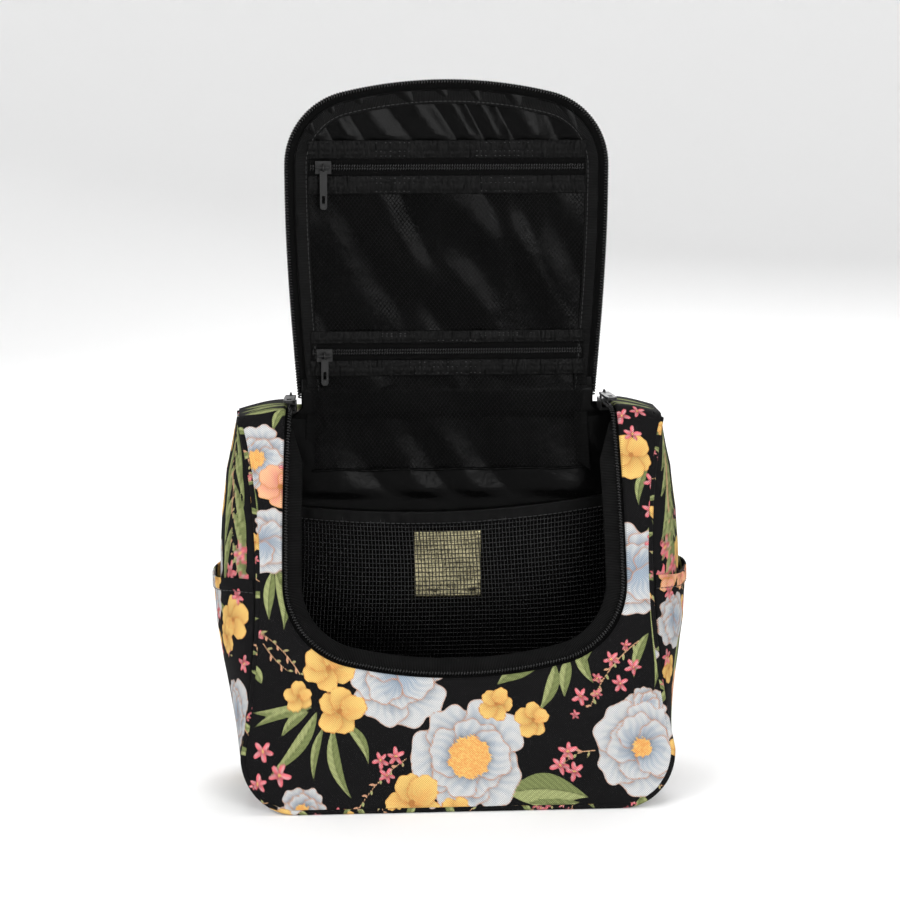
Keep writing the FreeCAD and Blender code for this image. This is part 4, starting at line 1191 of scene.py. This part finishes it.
def pocket_zip(name, centre, tall_top, tall_low, half):
    """Facings with double stitching, tape and closed coil of a net pocket's zip."""
    made = []
    tape_half = 4.4
    for part, low, high in (("top", centre + tape_half, centre + tape_half + tall_top),
                            ("low", centre - tape_half - tall_low, centre - tape_half)):
        edge = low if part == "top" else high
        step = 1 if part == "top" else -1
        rows = [edge + step * away for away in (1.2, 3.6, high - low - 1.2)]

        def height(x, s):
            """Depth of the puckered facing at a point."""
            swell = np.sin(math.pi * np.clip((s - low) / (high - low), 0, 1)) ** 0.5 * 0.5
            pull = sum(np.exp(-((s - row) / 0.8) ** 2) for row in rows)
            pucker = 0.42 * ripple(x, s * 0.4, 31, 0.9) + 0.30 * ripple(x, s * 0.25, 30, 2.2)
            return 5.2 + swell + pucker * (1 - 0.35 * pull) - pull * (0.22
                                                                      + 0.16 * np.cos(TAU * x / 2.4))

        x, s = np.meshgrid(np.linspace(-half, half, 480), np.linspace(low, high, 22))
        piece = new_piece(f"{name}_{part}_facing", lid_point(x, s, height(x, s)),
                          quads(22, 480)[:, ::-1], FACING, None,
                          (f"{name}_facing_{part}",), np.stack([x, s], -1))
        thicken(piece, 0.7, -1.0)
        made.append(piece)
        x = np.linspace(-half + 1, half - 1, 240)
        for number, row in enumerate(rows):
            line = lid_point(x, np.full(240, row), height(x, np.full(240, row)) + 0.15)
            made.append(stitches(f"{name}_{part}_stitches_{number}", line, None, (0, -1, 0), 2.4, 0.24))
    x, s = np.meshgrid(np.linspace(-half, half, 120), np.linspace(centre - 4.8, centre + 4.8, 13))
    tape = new_piece(f"{name}_pocket_tape", lid_point(x, s, 4.7), quads(13, 120)[:, ::-1], TAPE, None,
                     (f"{name}_zip_tape",), np.stack([x, s], -1))
    thicken(tape, 0.4, -1.0)
    made.append(tape)
    x = np.linspace(-half + 1, half - 1, 900)
    parts = [coil_teeth(lid_point(x, np.full(900, centre + side * 0.75), 5.6), np.array([0, -1.0, 0]),
                        0.85, 0.55, 1.3, 0.3) for side in (-1, 1)]
    points, faces = merge(parts)
    made.append(new_piece(f"{name}_pocket_coil", points, faces, NYLON, None, (f"{name}_zip_coil",)))
    return made


def make_net_pockets():
    """Two zipped pockets of fine diamond net over the satin."""
    half = edge_of("upper_net", HIGH, 0) + 2.5
    upper, lower, seam_at = 120.0, 26.0, -35.0
    for piece in pocket_zip("upper", upper, 9, 9, half):
        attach(piece, "lid_upper")
    for piece in pocket_zip("lower", lower, 6.0, 8, half):
        on_lid(piece)
    pitch = 1.05
    low, high = lower + 10, upper - 13
    rows, columns = int((high - low) / (1.25 * pitch)), int(2 * half / pitch)
    u = np.linspace(-1, 1, columns)[None, :]
    v = np.linspace(0, 1, rows)[:, None]
    deep = 4.9 + (2.4 + 2.3 * np.sin(5.2 * u + 7.4 * v + 0.9 * ripple(u * 3, v * 2, 18, 1.0))) * (
        1 - u ** 6) * np.sin(math.pi * v) ** 0.6
    x, s, deep = np.broadcast_arrays(u * half, low + (high - low) * v, deep)
    net = net_piece("upper_netting", lid_point(x, s, deep), rows, columns, 0.34, STRANDS, None,
                    ("upper_net",), True)
    on_lid(net)
    low, high = seam_at, lower - 12
    rows = int((high - low) / (1.25 * pitch))
    v = np.linspace(0, 1, rows)[:, None]
    deep = 7.3 - 1.7 * v + (2.2 + 2.1
                            * np.sin(7.5 * u + 5.4 * v + 0.9 * ripple(u * 3, v * 2, 28, 1.0))) * (
        1 - u ** 6) * np.sin(math.pi * v) ** 0.6
    deep = deep + 0.4 * (1 - v) * np.sin(u * 60)
    gather = 1 - 0.02 * (1 - v)
    x, s, deep = np.broadcast_arrays(u * half * gather, low + (high - low) * v, deep)
    net = net_piece("lower_netting", lid_point(x, s, deep), rows, columns, 0.34, STRANDS, None,
                    ("lower_net_body",), True)
    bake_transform(net)
    x, s = np.meshgrid(np.linspace(-75, 75, 150), np.linspace(-12, 12, 40))
    x = x * (1 + 0.13 * np.clip((-3 - s) / 8, 0, 1))
    tuck = 4.9 - 1.9 * np.clip((np.abs(s) - 5.5) / 6, 0, 1) + 0.12 * ripple(x, s, 19, 0.2)
    strip = new_piece("hinge_lining", lid_point(x, s, tuck), quads(40, 150)[:, ::-1],
                      SATIN, None, (), np.stack([x, s], -1))
    thicken(strip, 0.4, -1.0)
    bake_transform(strip)
    for side, label in ((-1, "left"), (1, "right")):
        s, share = np.meshgrid(np.linspace(-38, 8, 60), np.linspace(0, 1, 9), indexing="ij")
        x = side * (65.0 + 7.0 * share + 2.5 * np.clip(-s / 38, 0, 1))
        band = new_piece(f"{label}_hinge_band", lid_point(x, s, 4.7 + 0.2 * ripple(x, s, 40, 0.2)),
                         quads(60, 9)[:, ::side], RIBBED, None, (),
                         np.stack([s, share * 7], -1))
        thicken(band, 0.8, 0.0)
        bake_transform(band)
    x = np.linspace(-half, half, 300)
    line = lid_point(x, np.full(300, seam_at) + 0.3 * np.sin(x * 0.2), 7.1)
    points, faces = tube(line, 0.7 + 0.08 * np.sin(x * 1.1), 8)
    new_piece("gathered_seam", points, faces, SATIN, "body", ())


# ---------------------------------------------------------------- outside of the lid

def strap(name, line, width, body, nodes, thickness, way, columns):
    """Flat webbing whose middle follows a line; its width lies along a way."""
    across = np.linspace(-width / 2, width / 2, columns)[None, :, None]
    points = line[:, None, :] + np.array(way) * across
    cut = grid_of(running_length(line)[:, None], across[0, :, 0][None, :])
    obj = new_piece(name, points, quads(len(line), columns), WEBBING, body, nodes, cut)
    thicken(obj, thickness, 0.0)


def make_handle():
    """Webbing grab handle, with its ends stitched flat."""
    low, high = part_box("grab_handle")
    end = high.x / MM
    rise = (high.y / MM - HALF_DEPTH)
    middle = (low.z + high.z) / 2 / MM
    x = np.linspace(-end, end, 160)
    arch = np.clip(1 - (x / (end - 18)) ** 2, 0, 1)
    line = np.stack([x, HALF_DEPTH + 1.0 + (rise - 2.2) * arch ** 0.9, np.full(160, middle)], -1)
    strap("carry_handle", line, 22, "lid_lower", ("grab_handle",), 1.5, (0, 0, 1.0), 16)
    for side in (-1, 1):
        for number, at in enumerate((end - 3, end - 15)):
            row = np.stack([np.full(12, side * at), np.full(12, HALF_DEPTH + 2.0),
                            np.linspace(middle - 9, middle + 9, 12)], -1)
            stitches(f"handle_stitches_{'left' if side < 0 else 'right'}_{number}", row, "lid_lower",
                     (0, 1, 0), 2.4, 0.3)


def make_hook_tab():
    """Webbing tab folded round the hanger's bar."""
    low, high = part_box("hook_tab")
    axis_z = high.z / MM - 3.1
    off = HALF_DEPTH + 5.0
    angle = np.linspace(-2.2, math.pi / 2 + 0.9, 26)
    loop = np.stack([np.zeros(26), off + 2.6 * np.cos(angle), axis_z + 2.6 * np.sin(angle)], -1)
    tail_out = np.array([[0, HALF_DEPTH + 1.4, z] for z in np.linspace(low.z / MM, axis_z - 6, 10)])
    tail_in = np.array([[0, HALF_DEPTH + 0.6, z] for z in np.linspace(axis_z - 2, low.z / MM, 10)])
    line = np.concatenate([tail_out, loop, tail_in])
    width = (high.x - low.x) / MM
    strap("hook_tab_webbing", line, width, "lid_upper", ("hook_tab",), 0.8, (1.0, 0, 0), 12)


def make_hook():
    """Moulded hook: an eye round the ring's bar, a curved neck, a round bend and a blunt tip."""
    low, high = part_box("hook")
    thick, eye = 2.1, 3.1
    middle, radius = (low.y + high.y) / 2 / MM, high.x / MM - thick
    centre, eye_z = low.z / MM + radius + thick, high.z / MM - eye
    turn = np.linspace(math.pi, TAU, 48)
    bend = np.stack([radius * np.cos(turn), centre + radius * np.sin(turn)], -1)
    tip = [[-radius, centre + 8.0], [-radius, centre + 7.4], [-radius, centre + 6.2],
           [-radius, centre + 3]]
    t = np.linspace(0, 1, 40)[:, None]
    neck = ((1 - t) ** 3 * [radius, centre + 9] + 3 * (1 - t) ** 2 * t * [radius, centre + 25]
            + 3 * (1 - t) * t ** 2 * [0, centre + 15] + t ** 3 * [0, eye_z - 1.5])
    flat = np.concatenate([tip, bend, [[radius, centre + 4]], neck])
    line = np.stack([flat[:, 0], np.full(len(flat), middle), flat[:, 1]], -1)
    size = np.full(len(line), thick)
    size[:3] = thick * np.array([0.45, 0.8, 0.95])
    x = np.linspace(-4, 4, 9)
    barrel = np.stack([x, np.full(9, middle), np.full(9, eye_z)], -1)
    points, faces = merge([tube(line, size, 14), tube(barrel, eye * (1 - 0.006 * x ** 2), 16)])
    new_piece("moulded_hook", points, faces, PLASTIC, "hanger", ("hook",))


def finish_cad_nodes():
    """Enamel on the hard pieces that CAD shapes well."""
    names = [f"{place}_{part}" for place in ("upper", "lower", "left_main", "right_main")
             for part in ("slider", "pull")]
    for name in ["hanger_ring"] + names:
        for holder in frame["nodes"][name].material_slots:
            holder.material = ENAMEL


# ---------------------------------------------------------------- what is cloth

SHEETS = {
    "front_cloth": ("stretched", ["front_piping_cord"]), "front_lining_cloth": ("laid", ["front_cloth"]),
    "side_strip": ("stretched", ["front_piping_cord", "back_piping_cord"]),
    "side_lining": ("laid", ["side_strip"]),
    "back_cloth": ("stretched", ["back_piping_cord"]), "back_lining_cloth": ("laid", ["back_cloth"]),
    "left_side_pocket": ("hung", ["side_strip"]), "right_side_pocket": ("hung", ["side_strip"]),
    "square_mesh": ("hung", ["mesh_top_band"]), "foil_patch": ("laid", ["back_lining_cloth"]),
    "lid_cloth": ("stretched", ["lid_zip_tape"]),
    "lid_lining_cloth": ("stretched", ["lid_edge_binding"]),
    "upper_netting": ("stretched", ["upper_low_facing"]),
    "lower_netting": ("gathered", ["lower_low_facing"]),
    "hinge_lining": ("stretched", ["lid_lining_cloth"]),
    "carry_handle": ("stretched", ["lid_cloth"]), "hook_tab_webbing": ("folded", ["hanger_ring"]),
}


def declare_cloth():
    """Works out each cloth's cut area and what it rests on, and keeps neither."""
    for name, (held, rests_on) in SHEETS.items():
        width, length, area = cuts[name]
        min(area, width * length) * MM * MM
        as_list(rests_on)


# ---------------------------------------------------------------- floor, light and camera

def make_stage():
    """Pale floor curved up into a wall all round, and soft light from four sides."""
    material, _, _, principled = shader("floor", 0.9)
    principled.inputs["Base Color"].default_value = (0.93, 0.93, 0.93, 1)
    bend = np.linspace(0, math.pi / 2, 24)
    flat, curl, wall = 1700, 900, 2700
    reach = np.concatenate([[0.1], flat + curl * np.sin(bend), [flat + curl]])
    z = np.concatenate([[0], curl - curl * np.cos(bend), [wall]])
    turn = np.linspace(0, TAU, 96, endpoint=False)
    bowl = np.stack([reach[:, None] * np.cos(turn), reach[:, None] * np.sin(turn),
                     np.broadcast_to(z[:, None], (len(z), len(turn)))], -1)
    new_piece("floor", bowl, quads(len(z), len(turn), close_columns=True)[:, ::-1], material)
    world = bpy.data.worlds.new("studio")
    world.use_nodes = True
    world.node_tree.nodes["Background"].inputs[0].default_value = (1, 1, 1, 1)
    world.node_tree.nodes["Background"].inputs[1].default_value = 0.36
    bpy.context.scene.world = world
    bpy.context.scene.view_settings.view_transform = "Standard"
    lamps = (("key", (0.58, -1.60, 0.62), 0.7, 19), ("fill", (-1.1, -1.2, 1.0), 1.0, 22),
             ("top", (0.0, 0.3, 1.7), 1.0, 10), ("back", (0.5, 1.5, 1.0), 1.0, 17))
    strength = 0.84
    for name, place, size, power in lamps:
        data = bpy.data.lights.new(name, "AREA")
        data.size, data.energy = size, power * strength
        lamp = bpy.data.objects.new(name, data)
        lamp.location = place
        lamp.rotation_euler = (Vector((0, 0, 0.18)) - Vector(place)).to_track_quat("-Z", "Y").to_euler()
        bpy.context.scene.collection.objects.link(lamp)


def make_camera():
    """A long lens that frames 450 mm at the bag."""
    azimuth, elevation = math.radians(-4.2), math.radians(9.5)
    away, width = 1.35, 0.450
    target = Vector((-0.00175, 0, 0.1734))
    data = bpy.data.cameras.new("camera")
    data.lens = data.sensor_width * away / width
    camera = bpy.data.objects.new("camera", data)
    direction = Vector((math.sin(azimuth) * math.cos(elevation),
                        -math.cos(azimuth) * math.cos(elevation),
                        math.sin(elevation)))
    camera.location = target + direction * away
    camera.rotation_euler = (-direction).to_track_quat("-Z", "Y").to_euler()
    bpy.context.scene.collection.objects.link(camera)
    bpy.context.scene.camera = camera


make_camera()
make_stage()
make_front()
make_gusset()
make_back()
make_piping()
make_side_pockets()
make_body_zip()
make_inner_pocket()
make_lid()
make_net_pockets()
make_handle()
make_hook_tab()
make_hook()
finish_cad_nodes()
declare_cloth()
